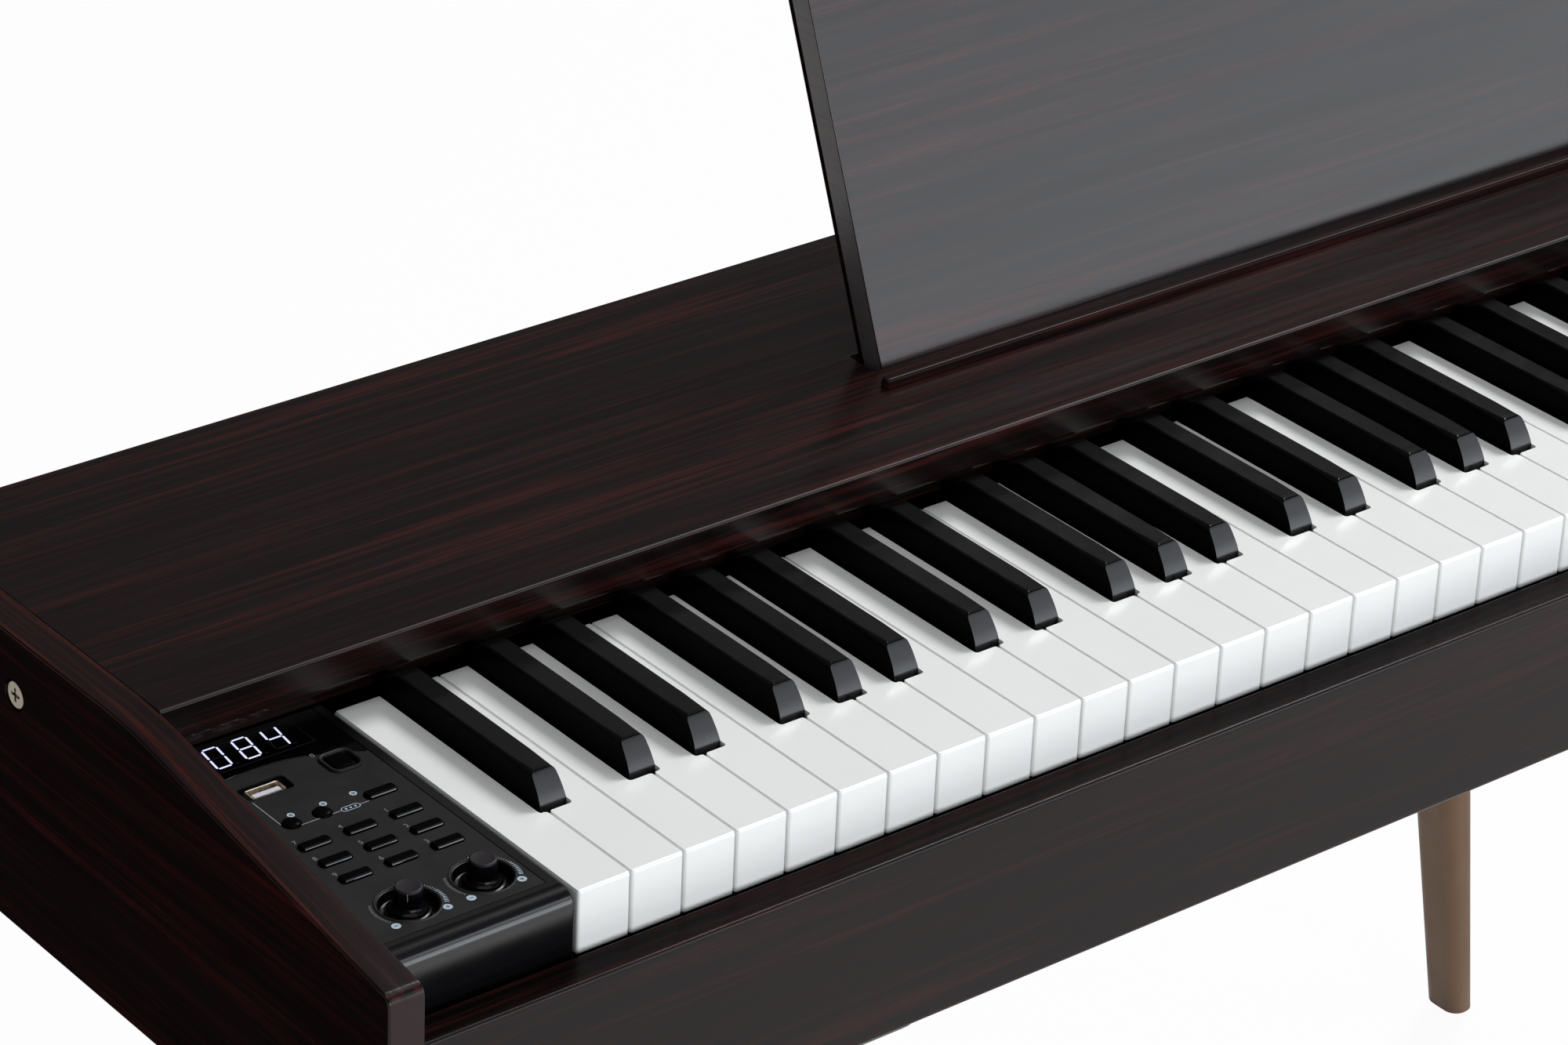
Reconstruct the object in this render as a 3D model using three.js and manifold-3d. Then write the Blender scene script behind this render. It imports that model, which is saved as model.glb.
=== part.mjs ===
// A digital piano with 88 keys: a slim case on four splayed legs, with a control panel
// to the left of the keyboard and a music rest that stands in a groove in the lid.
// Lengths are millimetres. X runs from the low keys to the high keys, Y from the player
// to the back and Z up. The origin lies on the floor, under the middle of the case.
import * as THREE from 'three';
import { mergeVertices } from 'three/addons/utils/BufferGeometryUtils.js';
import Module from 'manifold-3d';

const wasm = await Module();
wasm.setup();

// Clearances shared by all pieces
const fit = 0.3; // between a piece and the opening or seat that it sits in
const overrun = 2; // how far a cutting shape runs past the face that it cuts

// Case
const keyTop = 650; // floor to the tops of the white keys
const caseDepth = 344;
const caseBelowKeyTop = 100;
const caseAboveKeyTop = 28;
const railBelowKeyTop = 23.3;
const boardThickness = 15;
const backThickness = 12;
const boardEdgeRadius = 3;
const sideFrontRise = 0.4; // of the side panel's front corner over the key tops
const sideCornerRadius = 4.5;
const sideBendLength = 16;
const lidSetback = 146; // of the lid's front edge from the front of the white keys
const fasciaSetback = 12; // from the lid's front edge to the fascia's face
const fasciaThickness = 12;
const fasciaGap = 1; // between the key tops and the fascia's lower edge

// Keyboard
const whiteKeyCount = 52;
const whitePitch = 23.5;
const keyGap = 0.9;
const railToKeyGap = 4;
const keyHeadLength = 50;
const keyTopLength = 152.5; // the part of a white key in view
const whiteHeight = 26;
const whiteLip = 1;
const whiteRearStep = 3;
const blackTopHeight = 12;
const blackFootFromFront = 51.7;
const blackFootHeight = 1.7;
const blackSlopeLength = 6.4;
const blackSlopeEnd = 0.9; // below the top, where the front slope turns into it
const blackTopTurn = 1.3;
const blackTopEnd = 143; // from the front of the white keys
const blackRearChamfer = 5;
const blackRearLength = 8;
const blackBaseWidth = 11.8;
const blackTopWidth = 10.1;
const blackStemWidth = 10.6;
const blackStemDepth = 20;
const blackStemTop = 4; // how far the stem behind the cap lies below the key tops
const blackSideClearance = 1;
const keyBarEnd = 225; // from the front of the white keys to the rear of the key bars
const keyBarDepth = 25;
const keyBarThickness = 9;
const blackBarThickness = 14;
const barSpacing = 4; // between the white key bar and the black key bar below it
const barApproach = 10; // where a key gets thinner ahead of its bar
const pivotFromBarEnd = 10;

// Key frame
const frameFloorThickness = 5;
const frameFloorFront = 27; // from the front of the white keys
const frameWallThickness = 7;
const framePivotWidth = 8;
const framePocketDepth = 14;
const frameSeatGap = 0.5;
const frameLipGap = 0.8;

// End blocks
const blockWidth = 77;
const blockToKeyGap = 1;
const blockRise = 0.5; // of the block's top over the key tops
const blockDepth = 165;
const blockWall = 2.5;
const blockTopThickness = 3.2;
const blockFrontRadius = 8;
const blockSideRadius = 1.2;

// Control panel, with places measured from the block's right face and the keys' front
const plateThickness = 0.8;
const plateMargin = 0.4;
const plateRight = 5;
const plateFront = 11;
const plateArchPeak = 132.5; // the highest point of the plate's curved rear edge
const plateArchPeakFromRight = 47;
const plateArchLeftDrop = 6;
const plateArchRightDrop = 13;
const windowBack = 161;
const dishRadius = 11;
const dishDepth = 4;
const dishWall = 2;
const dishFloorThickness = 2;
const knobFromFront = 27;
const knobsFromRight = [20.5, 52.2];
const columnsFromRight = [17.9, 37.6, 57];
const rowsFromFront = [52.1, 64.7, 77.5];
const playerRowFromFront = 93.6;
const roundButtonsFromRight = [42.9, 56];
const powerFromRight = 17.5;
const powerFromFront = 119.5;
const usbFromRight = 50.2;
const usbFromFront = 119.3;

// Buttons and knobs
const barButtonLength = 13;
const barButtonWidth = 5;
const barButtonRadius = 1.2;
const roundButtonRadius = 3.6;
const powerButtonSize = 9;
const powerButtonRadius = 1.5;
const powerRimWall = 1.6;
const powerRimHeight = 1;
const powerRimGap = 1;
const buttonRise = 1.3;
const powerButtonRise = 0.4;
const buttonStemLength = 9;
const switchGap = 1; // between a button's foot and its switch, a little over its travel
const switchSize = 6;
const knobCapRadius = 5.2;
const knobTopRadius = 4.4;
const knobSkirtRadius = 8.6;
const knobSkirtEdge = 1;
const knobSkirtHeight = 3;
const knobRise = 7.5; // of the knob's top over the panel
const knobTopRound = 0.8;
const knobShaftRadius = 3;
const knobShaftGap = 0.5;

// Circuit board behind the panel
const boardDrop = 12.4; // from the panel's top to the circuit board's top
const circuitThickness = 1.6;
const boardFront = 6;
const boardBack = 158;
const postRadius = 3;
const postInset = 8;
const displayLength = 42;
const displayDepth = 18;
const displayFromRight = 38;
const displayFromFront = 146.5;

// USB socket, open at the top
const usbShellLength = 14.5;
const usbShellWidth = 7;
const usbShellWall = 0.7;
const usbShellDepth = 10.5;
const usbFloor = 1.5;
const usbTongueWidth = 1.8;
const usbTongueSideGap = 0.6;
const usbTongueDrop = 1;
const usbRecessLength = 20;
const usbRecessWidth = 10;
const usbRecessRadius = 2;

// Music rest and page ledge
const restWidth = 600;
const restHeight = 180;
const restThickness = 15;
const restCornerRadius = 26;
const restEdgeRound = 2;
const restEdgeInset = 2;
const restLean = THREE.MathUtils.degToRad(22);
const restBackShare = 0.5307; // of the lid's depth that lies behind the music rest
const grooveDepth = 10;
const grooveEndRoom = 4;
const grooveSideRoom = 0.5;
const ledgeLength = 621;
const ledgeWidth = 5;
const ledgeHeight = 4;
const ledgeToRest = 11;

// Legs
const legTopX = 26;
const legTopY = 40;
const legFootX = 18;
const legFootY = 25;
const legCornerRadius = 6;
const frontLegSplay = 163;
const rearLegSplay = 247;
const legSplayY = 156;
const frontLegFromEnd = 205;
const rearLegFromMiddle = 100;
const legFromEdge = 42;
const legPlateSize = 80;
const legPlateRadius = 10;
const legPlateThickness = 3;

// Speakers and main circuit board, between the key frame and the back panel
const speakerFromEnd = 284;
const speakerSideRoom = 7.1;
const speakerConeShare = 0.82; // shares of the speaker's radius
const speakerMagnetShare = 0.48;
const speakerHoleShare = 0.79;
const speakerFlange = 3;
const speakerConeHeight = 20;
const speakerMagnetHeight = 12;
const behindFrameRoom = 6;
const mainBoardLength = 200;
const mainBoardDepthShare = 0.7; // of the depth between the key frame and the back panel
const mainBoardStart = 60;
const mainBoardLift = 8;
const mainPegRadius = 3;
const mainPegInset = 7;

// Sockets in the back panel
const inletFromMiddle = 330;
const headphoneFromMiddle = 290;
const socketAboveBottom = 50;
const socketFlange = 1.5;
const inletLength = 14;
const inletHeight = 12;
const inletReachShare = 0.125; // of the depth between the key frame and the back panel
const inletFlangeOverlap = 3;
const inletBoreRadius = 4;
const inletBoreDepth = 10;
const inletPinRadius = 1;
const headphoneBodySize = 14;
const headphoneReachShare = 0.275; // of the depth between the key frame and the back panel
const headphoneBoreRadius = 3.3;
const headphoneEndWall = 7.5;
const headphoneFlangeOverlap = 2;

// Cam bolts that hold the side panels
const boltFromBack = 102.4;
const boltRise = 2.9; // of the bolt's middle over the key tops
const boltHeadRadius = 5.5;
const boltHeadThickness = 1.5;
const boltShankRadius = 3;
const boltShankLength = 8;
const boltRecessRadius = 6.6;
const boltRecessDepth = 2;
const boltCrossWidth = 1.3;
const boltCrossDepth = 0.9;
const boltCrossLength = 6;

// Roundness of curves, in straight steps
const smallCornerSteps = 1;
const cornerSteps = 2;
const roundSteps = 4;
const roundButtonSteps = 8;
const discSteps = 24;
const smallDiscSteps = 8;

// Faces worked out from the sizes above
const caseFront = -caseDepth / 2;
const caseBack = caseDepth / 2;
const caseBottom = keyTop - caseBelowKeyTop;
const lidTop = keyTop + caseAboveKeyTop;
const lidBottom = lidTop - boardThickness;
const floorTop = caseBottom + boardThickness;
const railTop = keyTop - railBelowKeyTop;
const railBack = caseFront + boardThickness;
const keyFront = railBack + railToKeyGap;
const lidFront = keyFront + lidSetback;
const restBack = caseBack - (caseBack - lidFront) * restBackShare;
const keyboardWidth = whiteKeyCount * whitePitch;
const keyboardLeft = -keyboardWidth / 2;
const keyboardRight = keyboardWidth / 2;
const blockRight = keyboardLeft - blockToKeyGap;
const caseInside = keyboardWidth / 2 + blockToKeyGap + blockWidth;
const caseOutside = caseInside + boardThickness;
const panelTop = keyTop + blockRise;
const keyBarFront = keyBarEnd - keyBarDepth;
const frameRear = keyFront + keyBarEnd + frameLipGap + frameWallThickness;
const backPanelFront = caseBack - backThickness;
const rearDepth = backPanelFront - frameRear;
const rearMiddle = (backPanelFront + frameRear) / 2;
const speakerRadius = rearDepth / 2 - speakerSideRoom;
const speakerFromMiddle = caseOutside - speakerFromEnd;

// Joins the corners that a geometry's faces share.
function welded(geometry) {
  geometry.deleteAttribute('normal');
  geometry.deleteAttribute('uv');
  return mergeVertices(geometry);
}

// Builds a solid from a closed three.js geometry.
function solid(geometry) {
  const merged = welded(geometry);
  const mesh = new wasm.Mesh({
    numProp: 3,
    vertProperties: new Float32Array(merged.attributes.position.array),
    triVerts: new Uint32Array(merged.index.array),
  });
  mesh.merge();
  return new wasm.Manifold(mesh);
}

// Turns a solid back into a three.js geometry.
function geometryOf(body) {
  const mesh = body.getMesh();
  const geometry = new THREE.BufferGeometry();
  geometry.setAttribute('position', new THREE.BufferAttribute(mesh.vertProperties, 3));
  geometry.setIndex(new THREE.BufferAttribute(mesh.triVerts, 1));
  geometry.computeVertexNormals();
  return geometry;
}

function box(x0, x1, y0, y1, z0, z1) {
  const geometry = new THREE.BoxGeometry(x1 - x0, y1 - y0, z1 - z0);
  return solid(geometry.translate((x0 + x1) / 2, (y0 + y1) / 2, (z0 + z1) / 2));
}

function outline(points) {
  return new THREE.Shape(points.map(([u, v]) => new THREE.Vector2(u, v)));
}

function roundedRectangle(x0, x1, y0, y1, radius) {
  const shape = new THREE.Shape();
  const quarter = Math.PI / 2;
  shape.absarc(x1 - radius, y1 - radius, radius, 0, quarter);
  shape.absarc(x0 + radius, y1 - radius, radius, quarter, Math.PI);
  shape.absarc(x0 + radius, y0 + radius, radius, Math.PI, Math.PI + quarter);
  shape.absarc(x1 - radius, y0 + radius, radius, Math.PI + quarter, Math.PI + Math.PI);
  return shape;
}

// A shape drawn in X and Y, standing from z0 to z1.
function alongZ(shape, z0, z1, curveSegments = cornerSteps) {
  const options = { depth: z1 - z0, bevelEnabled: false, curveSegments };
  return solid(new THREE.ExtrudeGeometry(shape, options).translate(0, 0, z0));
}

// A shape drawn in Y and Z, running from x0 to x1.
function alongX(shape, x0, x1, curveSegments = cornerSteps) {
  const options = { depth: x1 - x0, bevelEnabled: false, curveSegments };
  const turn = new THREE.Matrix4().makeBasis(
    new THREE.Vector3(0, 1, 0),
    new THREE.Vector3(0, 0, 1),
    new THREE.Vector3(1, 0, 0),
  );
  const geometry = new THREE.ExtrudeGeometry(shape, options).applyMatrix4(turn);
  return solid(geometry.translate(x0, 0, 0));
}

function discZ(x, y, z0, z1, radius, steps = discSteps) {
  const geometry = new THREE.CylinderGeometry(radius, radius, z1 - z0, steps);
  return solid(geometry.rotateX(Math.PI / 2).translate(x, y, (z0 + z1) / 2));
}

function discY(x, z, y0, y1, radius, steps = discSteps) {
  const geometry = new THREE.CylinderGeometry(radius, radius, y1 - y0, steps);
  return solid(geometry.translate(x, (y0 + y1) / 2, z));
}

function discX(y, z, x0, x1, radius, steps = discSteps) {
  const geometry = new THREE.CylinderGeometry(radius, radius, x1 - x0, steps);
  return solid(geometry.rotateZ(Math.PI / 2).translate((x0 + x1) / 2, y, z));
}

// A turned piece about an upright axis, from radius and height pairs, bottom to top.
function turned(profile, x, y, steps = discSteps) {
  const points = profile.map(([radius, height]) => new THREE.Vector2(radius, height));
  const geometry = new THREE.LatheGeometry(points, steps).rotateX(Math.PI / 2);
  return solid(geometry.translate(x, y, 0));
}

const piano = new THREE.Group();

function add(name, body, color, roughness, metalness = 0) {
  const material = new THREE.MeshStandardMaterial({ color, roughness, metalness });
  const mesh = new THREE.Mesh(geometryOf(body), material);
  mesh.name = name;
  piano.add(mesh);
}

const rosewood = '#2b1f1e';
const glossRosewood = '#3a1d1c';
const whitePlastic = '#e8eae8';
const blackPlastic = '#1b1c1f';
const panelGrey = '#2d2d2e';
const glossBlack = '#08080a';
const legTaupe = '#6b594a';
const steel = '#b9b9bb';
const circuitGreen = '#1f5136';
const darkSteel = '#3b3c3f';

// Case boards

function sidePanelShape() {
  const slopeFront = keyTop + sideFrontRise;
  const slope = (lidTop - slopeFront) / (lidFront - caseFront);
  const shape = new THREE.Shape();
  shape.moveTo(caseFront, caseBottom);
  shape.lineTo(caseFront, slopeFront - sideCornerRadius);
  shape.quadraticCurveTo(
    caseFront,
    slopeFront,
    caseFront + sideCornerRadius,
    slopeFront + slope * sideCornerRadius,
  );
  shape.lineTo(lidFront - sideBendLength, lidTop - slope * sideBendLength);
  shape.quadraticCurveTo(lidFront, lidTop, lidFront + sideBendLength, lidTop);
  shape.lineTo(caseBack, lidTop);
  shape.lineTo(caseBack, caseBottom);
  return shape;
}

function sidePanel(side) {
  const inside = side * caseInside;
  const outside = side * caseOutside;
  const boltY = caseBack - boltFromBack;
  const boltZ = keyTop + boltRise;
  const recessFloor = outside - side * boltRecessDepth;
  const holeEnd = recessFloor - side * (boltShankLength + fit);
  const past = outside + side * overrun;
  const x0 = Math.min(inside, outside);
  const x1 = Math.max(inside, outside);
  const recess = discX(
    boltY,
    boltZ,
    Math.min(recessFloor, past),
    Math.max(recessFloor, past),
    boltRecessRadius,
  );
  const hole = discX(
    boltY,
    boltZ,
    Math.min(holeEnd, past),
    Math.max(holeEnd, past),
    boltShankRadius + fit,
    smallDiscSteps,
  );
  return alongX(sidePanelShape(), x0, x1, roundSteps).subtract(recess).subtract(hole);
}

// The bolt's head lies on the floor of the recess, with a cross for the screwdriver.
function camBolt(side) {
  const y = caseBack - boltFromBack;
  const z = keyTop + boltRise;
  const seat = side * (caseOutside - boltRecessDepth);
  const face = seat + side * boltHeadThickness;
  const tip = seat - side * boltShankLength;
  const crossFloor = face - side * boltCrossDepth;
  const past = face + side * overrun;
  const head = discX(y, z, Math.min(seat, face), Math.max(seat, face), boltHeadRadius);
  const shank = discX(
    y,
    z,
    Math.min(tip, face),
    Math.max(tip, face),
    boltShankRadius,
    smallDiscSteps,
  );
  const x0 = Math.min(crossFloor, past);
  const x1 = Math.max(crossFloor, past);
  const long = boltCrossLength / 2;
  const thin = boltCrossWidth / 2;
  return head
    .add(shank)
    .subtract(box(x0, x1, y - long, y + long, z - thin, z + thin))
    .subtract(box(x0, x1, y - thin, y + thin, z - long, z + long));
}

// A board that runs the length of the case, with its front edges rounded.
function longBoard(y0, y1, z0, z1) {
  const radius = boardEdgeRadius;
  const shape = new THREE.Shape();
  shape.moveTo(y1, z0);
  shape.lineTo(y1, z1);
  shape.lineTo(y0 + radius, z1);
  shape.quadraticCurveTo(y0, z1, y0, z1 - radius);
  shape.lineTo(y0, z0 + radius);
  shape.quadraticCurveTo(y0, z0, y0 + radius, z0);
  return alongX(shape, -caseInside, caseInside);
}

// Places a solid drawn at the back face of the music rest: X stays, Y becomes the way
// up the leaning board and Z its thickness towards the player.
const restPlacement = new THREE.Matrix4()
  .makeTranslation(0, restBack, lidTop)
  .multiply(new THREE.Matrix4().makeBasis(
    new THREE.Vector3(1, 0, 0),
    new THREE.Vector3(0, Math.sin(restLean), Math.cos(restLean)),
    new THREE.Vector3(0, -Math.cos(restLean), Math.sin(restLean)),
  ));
const grooveReach = (grooveDepth + overrun + restThickness) / Math.cos(restLean);

function lid() {
  const half = restWidth / 2 + grooveEndRoom;
  const depth = restThickness + grooveSideRoom + grooveSideRoom;
  const length = grooveReach + grooveReach;
  const cutter = new THREE.BoxGeometry(half + half, length, depth);
  cutter.translate(0, 0, restThickness / 2).applyMatrix4(restPlacement);
  const grooveFloor = lidTop - grooveDepth - fit;
  const below = box(
    -half - overrun,
    half + overrun,
    lidFront,
    caseBack,
    lidBottom - overrun,
    grooveFloor,
  );
  const groove = solid(cutter).subtract(below);
  return longBoard(lidFront, caseBack, lidBottom, lidTop).subtract(groove);
}

function musicRest() {
  const half = restWidth / 2 - restEdgeInset;
  const shape = new THREE.Shape();
  const top = restHeight - restEdgeInset;
  const radius = restCornerRadius - restEdgeInset;
  shape.moveTo(-half, -grooveReach);
  shape.lineTo(half, -grooveReach);
  shape.lineTo(half, top - radius);
  shape.absarc(half - radius, top - radius, radius, 0, Math.PI / 2);
  shape.absarc(radius - half, top - radius, radius, Math.PI / 2, Math.PI);
  const geometry = new THREE.ExtrudeGeometry(shape, {
    depth: restThickness - restEdgeRound - restEdgeRound,
    bevelThickness: restEdgeRound,
    bevelSize: restEdgeInset,
    bevelSegments: cornerSteps,
    curveSegments: roundSteps + roundSteps,
  });
  geometry.translate(0, 0, restEdgeRound).applyMatrix4(restPlacement);
  const foot = lidTop - grooveDepth;
  const below = box(
    -restWidth,
    restWidth,
    lidFront - restHeight,
    caseBack + restHeight,
    foot - restHeight,
    foot,
  );
  return solid(geometry).subtract(below);
}

function pageLedge() {
  const back = restBack - ledgeToRest - restThickness / Math.cos(restLean);
  const half = ledgeLength / 2;
  const shape = roundedRectangle(-half, half, back - ledgeWidth, back, ledgeWidth / 2);
  return alongZ(shape, lidTop, lidTop + ledgeHeight);
}

function bottomBoard() {
  const board = box(-caseInside, caseInside, railBack, caseBack, caseBottom, floorTop);
  const radius = speakerRadius * speakerHoleShare;
  return [-speakerFromMiddle, speakerFromMiddle].reduce(
    (body, x) => body.subtract(
      discZ(x, rearMiddle, caseBottom - overrun, floorTop + overrun, radius),
    ),
    board,
  );
}

function backPanel() {
  const cut = backPanelFront - overrun;
  const past = caseBack + overrun;
  const z = floorTop + socketAboveBottom;
  const panel = box(-caseInside, caseInside, backPanelFront, caseBack, floorTop, lidBottom);
  const inletX = inletLength / 2 + fit;
  const inletZ = inletHeight / 2 + fit;
  const size = headphoneBodySize / 2 + fit;
  return panel
    .subtract(box(
      inletFromMiddle - inletX,
      inletFromMiddle + inletX,
      cut,
      past,
      z - inletZ,
      z + inletZ,
    ))
    .subtract(box(
      headphoneFromMiddle - size,
      headphoneFromMiddle + size,
      cut,
      past,
      z - size,
      z + size,
    ));
}

add('left_side_panel', sidePanel(-1), rosewood, 0.5);
add('right_side_panel', sidePanel(1), rosewood, 0.5);
add('left_cam_bolt', camBolt(-1), steel, 0.35, 1);
add('right_cam_bolt', camBolt(1), steel, 0.35, 1);
add('lid', lid(), rosewood, 0.45);
add('front_rail', longBoard(caseFront, railBack, caseBottom, railTop), rosewood, 0.45);
add('bottom_board', bottomBoard(), rosewood, 0.7);
add('back_panel', backPanel(), rosewood, 0.7);
const fasciaFront = lidFront + fasciaSetback;
add(
  'fascia_board',
  box(
    -caseInside,
    caseInside,
    fasciaFront,
    fasciaFront + fasciaThickness,
    keyTop + fasciaGap,
    lidBottom,
  ),
  glossRosewood,
  0.15,
);
add('music_rest', musicRest(), rosewood, 0.4);
add('page_ledge', pageLedge(), rosewood, 0.4);

// Legs, each with a plate screwed under the bottom board

// A leg's level section is a rounded rectangle. It narrows towards the foot, which lies
// outwards from the top by the splays.
function leg(topX, topY, splayX) {
  const plateBottom = caseBottom - legPlateThickness;
  const x = legTopX / 2;
  const y = legTopY / 2;
  const shape = roundedRectangle(-x, x, -y, y, legCornerRadius);
  const options = { depth: plateBottom, bevelEnabled: false, curveSegments: cornerSteps };
  const geometry = welded(new THREE.ExtrudeGeometry(shape, options));
  const position = geometry.attributes.position;
  for (let i = 0; i < position.count; i += 1) {
    const drop = 1 - position.getZ(i) / plateBottom;
    const narrowX = THREE.MathUtils.lerp(1, legFootX / legTopX, drop);
    const narrowY = THREE.MathUtils.lerp(1, legFootY / legTopY, drop);
    position.setX(i, topX + position.getX(i) * narrowX + Math.sign(topX) * splayX * drop);
    position.setY(i, topY + position.getY(i) * narrowY + Math.sign(topY) * legSplayY * drop);
  }
  return solid(geometry);
}

function legPlate(x, y) {
  const half = legPlateSize / 2;
  const shape = roundedRectangle(x - half, x + half, y - half, y + half, legPlateRadius);
  return alongZ(shape, caseBottom - legPlateThickness, caseBottom);
}

const frontLegX = caseOutside - frontLegFromEnd;
const frontLegY = caseFront + legFromEdge;
const rearLegY = caseBack - legFromEdge;
const legPlaces = {
  front_left: [-frontLegX, frontLegY, frontLegSplay],
  front_right: [frontLegX, frontLegY, frontLegSplay],
  rear_left: [-rearLegFromMiddle, rearLegY, rearLegSplay],
  rear_right: [rearLegFromMiddle, rearLegY, rearLegSplay],
};
for (const [place, [x, y, splayX]] of Object.entries(legPlaces)) {
  add(`${place}_leg`, leg(x, y, splayX), legTaupe, 0.55);
  add(`${place}_leg_plate`, legPlate(x, y), darkSteel, 0.5, 1);
}

// Keyboard. Each octave of white keys is joined by a bar at its hidden rear end, and so
// is each octave of black keys, with the black bar below the white one.

// The black keys of an octave follow these white keys, counted from C, and each lies
// beside the joint between two white keys by a share of their pitch.
const whiteCountsBeforeBlack = [0, 1, 3, 4, 5];
const blackShiftShares = [-0.14, 0.14, -0.17, 0, 0.16];
const octaveWhiteCount = 7;
const leadingWhiteCount = 2;
const octaveCount = 7;
const skippedWhiteCount = 5;

function whiteKeyShape() {
  const thin = keyFront + keyBarFront - barApproach;
  const end = keyFront + keyBarEnd;
  const bottom = keyTop - whiteHeight;
  const rearTop = keyTop - whiteRearStep;
  return outline([
    [keyFront, bottom],
    [keyFront, keyTop - whiteLip],
    [keyFront + whiteLip, keyTop],
    [keyFront + keyTopLength, keyTop],
    [keyFront + keyTopLength, rearTop],
    [end, rearTop],
    [end, rearTop - keyBarThickness],
    [thin, rearTop - keyBarThickness],
    [thin, bottom],
  ]);
}

function blackCentre(whitesBefore, shiftShare) {
  return keyboardLeft + (whitesBefore + shiftShare) * whitePitch;
}

// The black keys' centres from white key number first to number last.
function blackCentres(first, last) {
  const centres = [];
  for (let white = first; white < last; white += 1) {
    const inOctave = (white + skippedWhiteCount) % octaveWhiteCount;
    const black = whiteCountsBeforeBlack.indexOf(inOctave);
    const hasNext = white + 1 < whiteKeyCount;
    if (black >= 0 && hasNext) centres.push(blackCentre(white + 1, blackShiftShares[black]));
  }
  return centres;
}

function whiteOctave(first, last) {
  const rearTop = keyTop - whiteRearStep;
  const x0 = keyboardLeft + first * whitePitch + keyGap / 2;
  const x1 = keyboardLeft + last * whitePitch - keyGap / 2;
  let body = box(
    x0,
    x1,
    keyFront + keyBarFront,
    keyFront + keyBarEnd,
    rearTop - keyBarThickness,
    rearTop,
  );
  for (let white = first; white < last; white += 1) {
    const left = keyboardLeft + white * whitePitch + keyGap / 2;
    body = body.add(alongX(whiteKeyShape(), left, left + whitePitch - keyGap));
  }
  const half = blackBaseWidth / 2 + blackSideClearance;
  for (const x of blackCentres(first, last)) {
    body = body.subtract(box(
      x - half,
      x + half,
      keyFront + keyHeadLength,
      keyFront + keyBarFront,
      keyTop - whiteHeight - overrun,
      keyTop + overrun,
    ));
  }
  return body;
}

// The black cap narrows evenly from its foot to its top.
function blackCap(x) {
  const front = keyFront + blackFootFromFront;
  const top = keyTop + blackTopHeight;
  const foot = keyTop - blackStemTop;
  const rear = keyFront + blackTopEnd + blackRearLength;
  const geometry = new THREE.ExtrudeGeometry(outline([
    [front, foot],
    [front, keyTop + blackFootHeight],
    [front + blackSlopeLength, top - blackSlopeEnd],
    [front + blackSlopeLength + blackTopTurn, top],
    [keyFront + blackTopEnd, top],
    [rear, top - blackRearChamfer],
    [rear, foot],
  ]), { depth: blackBaseWidth, bevelEnabled: false });
  const position = geometry.attributes.position;
  for (let i = 0; i < position.count; i += 1) {
    const y = position.getX(i);
    const z = position.getY(i);
    const rise = (z - keyTop) / blackTopHeight;
    const narrow = THREE.MathUtils.lerp(1, blackTopWidth / blackBaseWidth, rise);
    const across = (position.getZ(i) - blackBaseWidth / 2) * narrow;
    position.setXYZ(i, x + across, y, z);
  }
  return solid(geometry);
}

function blackOctave(first, last) {
  const centres = blackCentres(first, last);
  const half = blackStemWidth / 2;
  const stemTop = keyTop - blackStemTop;
  const stemBottom = keyTop - blackStemDepth;
  const barTop = keyTop - whiteRearStep - keyBarThickness - barSpacing;
  const barBottom = barTop - blackBarThickness;
  const barFront = keyFront + keyBarFront;
  const barEnd = keyFront + keyBarEnd;
  const thick = barFront - barApproach;
  const front = keyFront + blackFootFromFront + overrun;
  const stem = outline([
    [front, stemBottom],
    [front, stemTop + overrun],
    [keyFront + blackTopEnd, stemTop + overrun],
    [keyFront + blackTopEnd, stemTop],
    [thick, stemTop],
    [thick, barTop],
    [barEnd, barTop],
    [barEnd, barBottom],
    [thick, barBottom],
    [thick, stemBottom],
  ]);
  let body = box(
    centres[0] - half,
    centres[centres.length - 1] + half,
    barFront,
    barEnd,
    barBottom,
    barTop,
  );
  for (const x of centres) {
    body = body.add(alongX(stem, x - half, x + half)).add(blackCap(x));
  }
  return body;
}

for (let octave = 0; octave < octaveCount; octave += 1) {
  const isFirst = octave === 0;
  const isLast = octave === octaveCount - 1;
  const start = leadingWhiteCount + octave * octaveWhiteCount;
  const first = isFirst ? 0 : start;
  const last = isLast ? whiteKeyCount : start + octaveWhiteCount;
  add(`white_keys_${octave + 1}`, whiteOctave(first, last), whitePlastic, 0.25);
  add(`black_keys_${octave + 1}`, blackOctave(first, last), blackPlastic, 0.35);
}

// The key frame carries the key bars on its pivot wall, with a lip behind them.
function keyFrame() {
  const floor = floorTop + frameFloorThickness;
  const blackBarBottom =
    keyTop - whiteRearStep - keyBarThickness - barSpacing - blackBarThickness;
  const pivot = keyFront + keyBarEnd - pivotFromBarEnd;
  const seat = blackBarBottom - frameSeatGap;
  const lip = frameRear - frameWallThickness;
  const half = framePivotWidth / 2;
  return alongX(outline([
    [keyFront + frameFloorFront, floorTop],
    [frameRear, floorTop],
    [frameRear, keyTop - whiteRearStep],
    [lip, keyTop - whiteRearStep],
    [lip, seat - framePocketDepth],
    [pivot + half, seat - framePocketDepth],
    [pivot + half, seat],
    [pivot - half, seat],
    [pivot - half, floor],
    [keyFront + frameFloorFront, floor],
  ]), keyboardLeft, keyboardRight);
}
add('key_frame', keyFrame(), darkSteel, 0.6, 1);

// End blocks: plastic shells that are open below and stand on the bottom board

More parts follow.
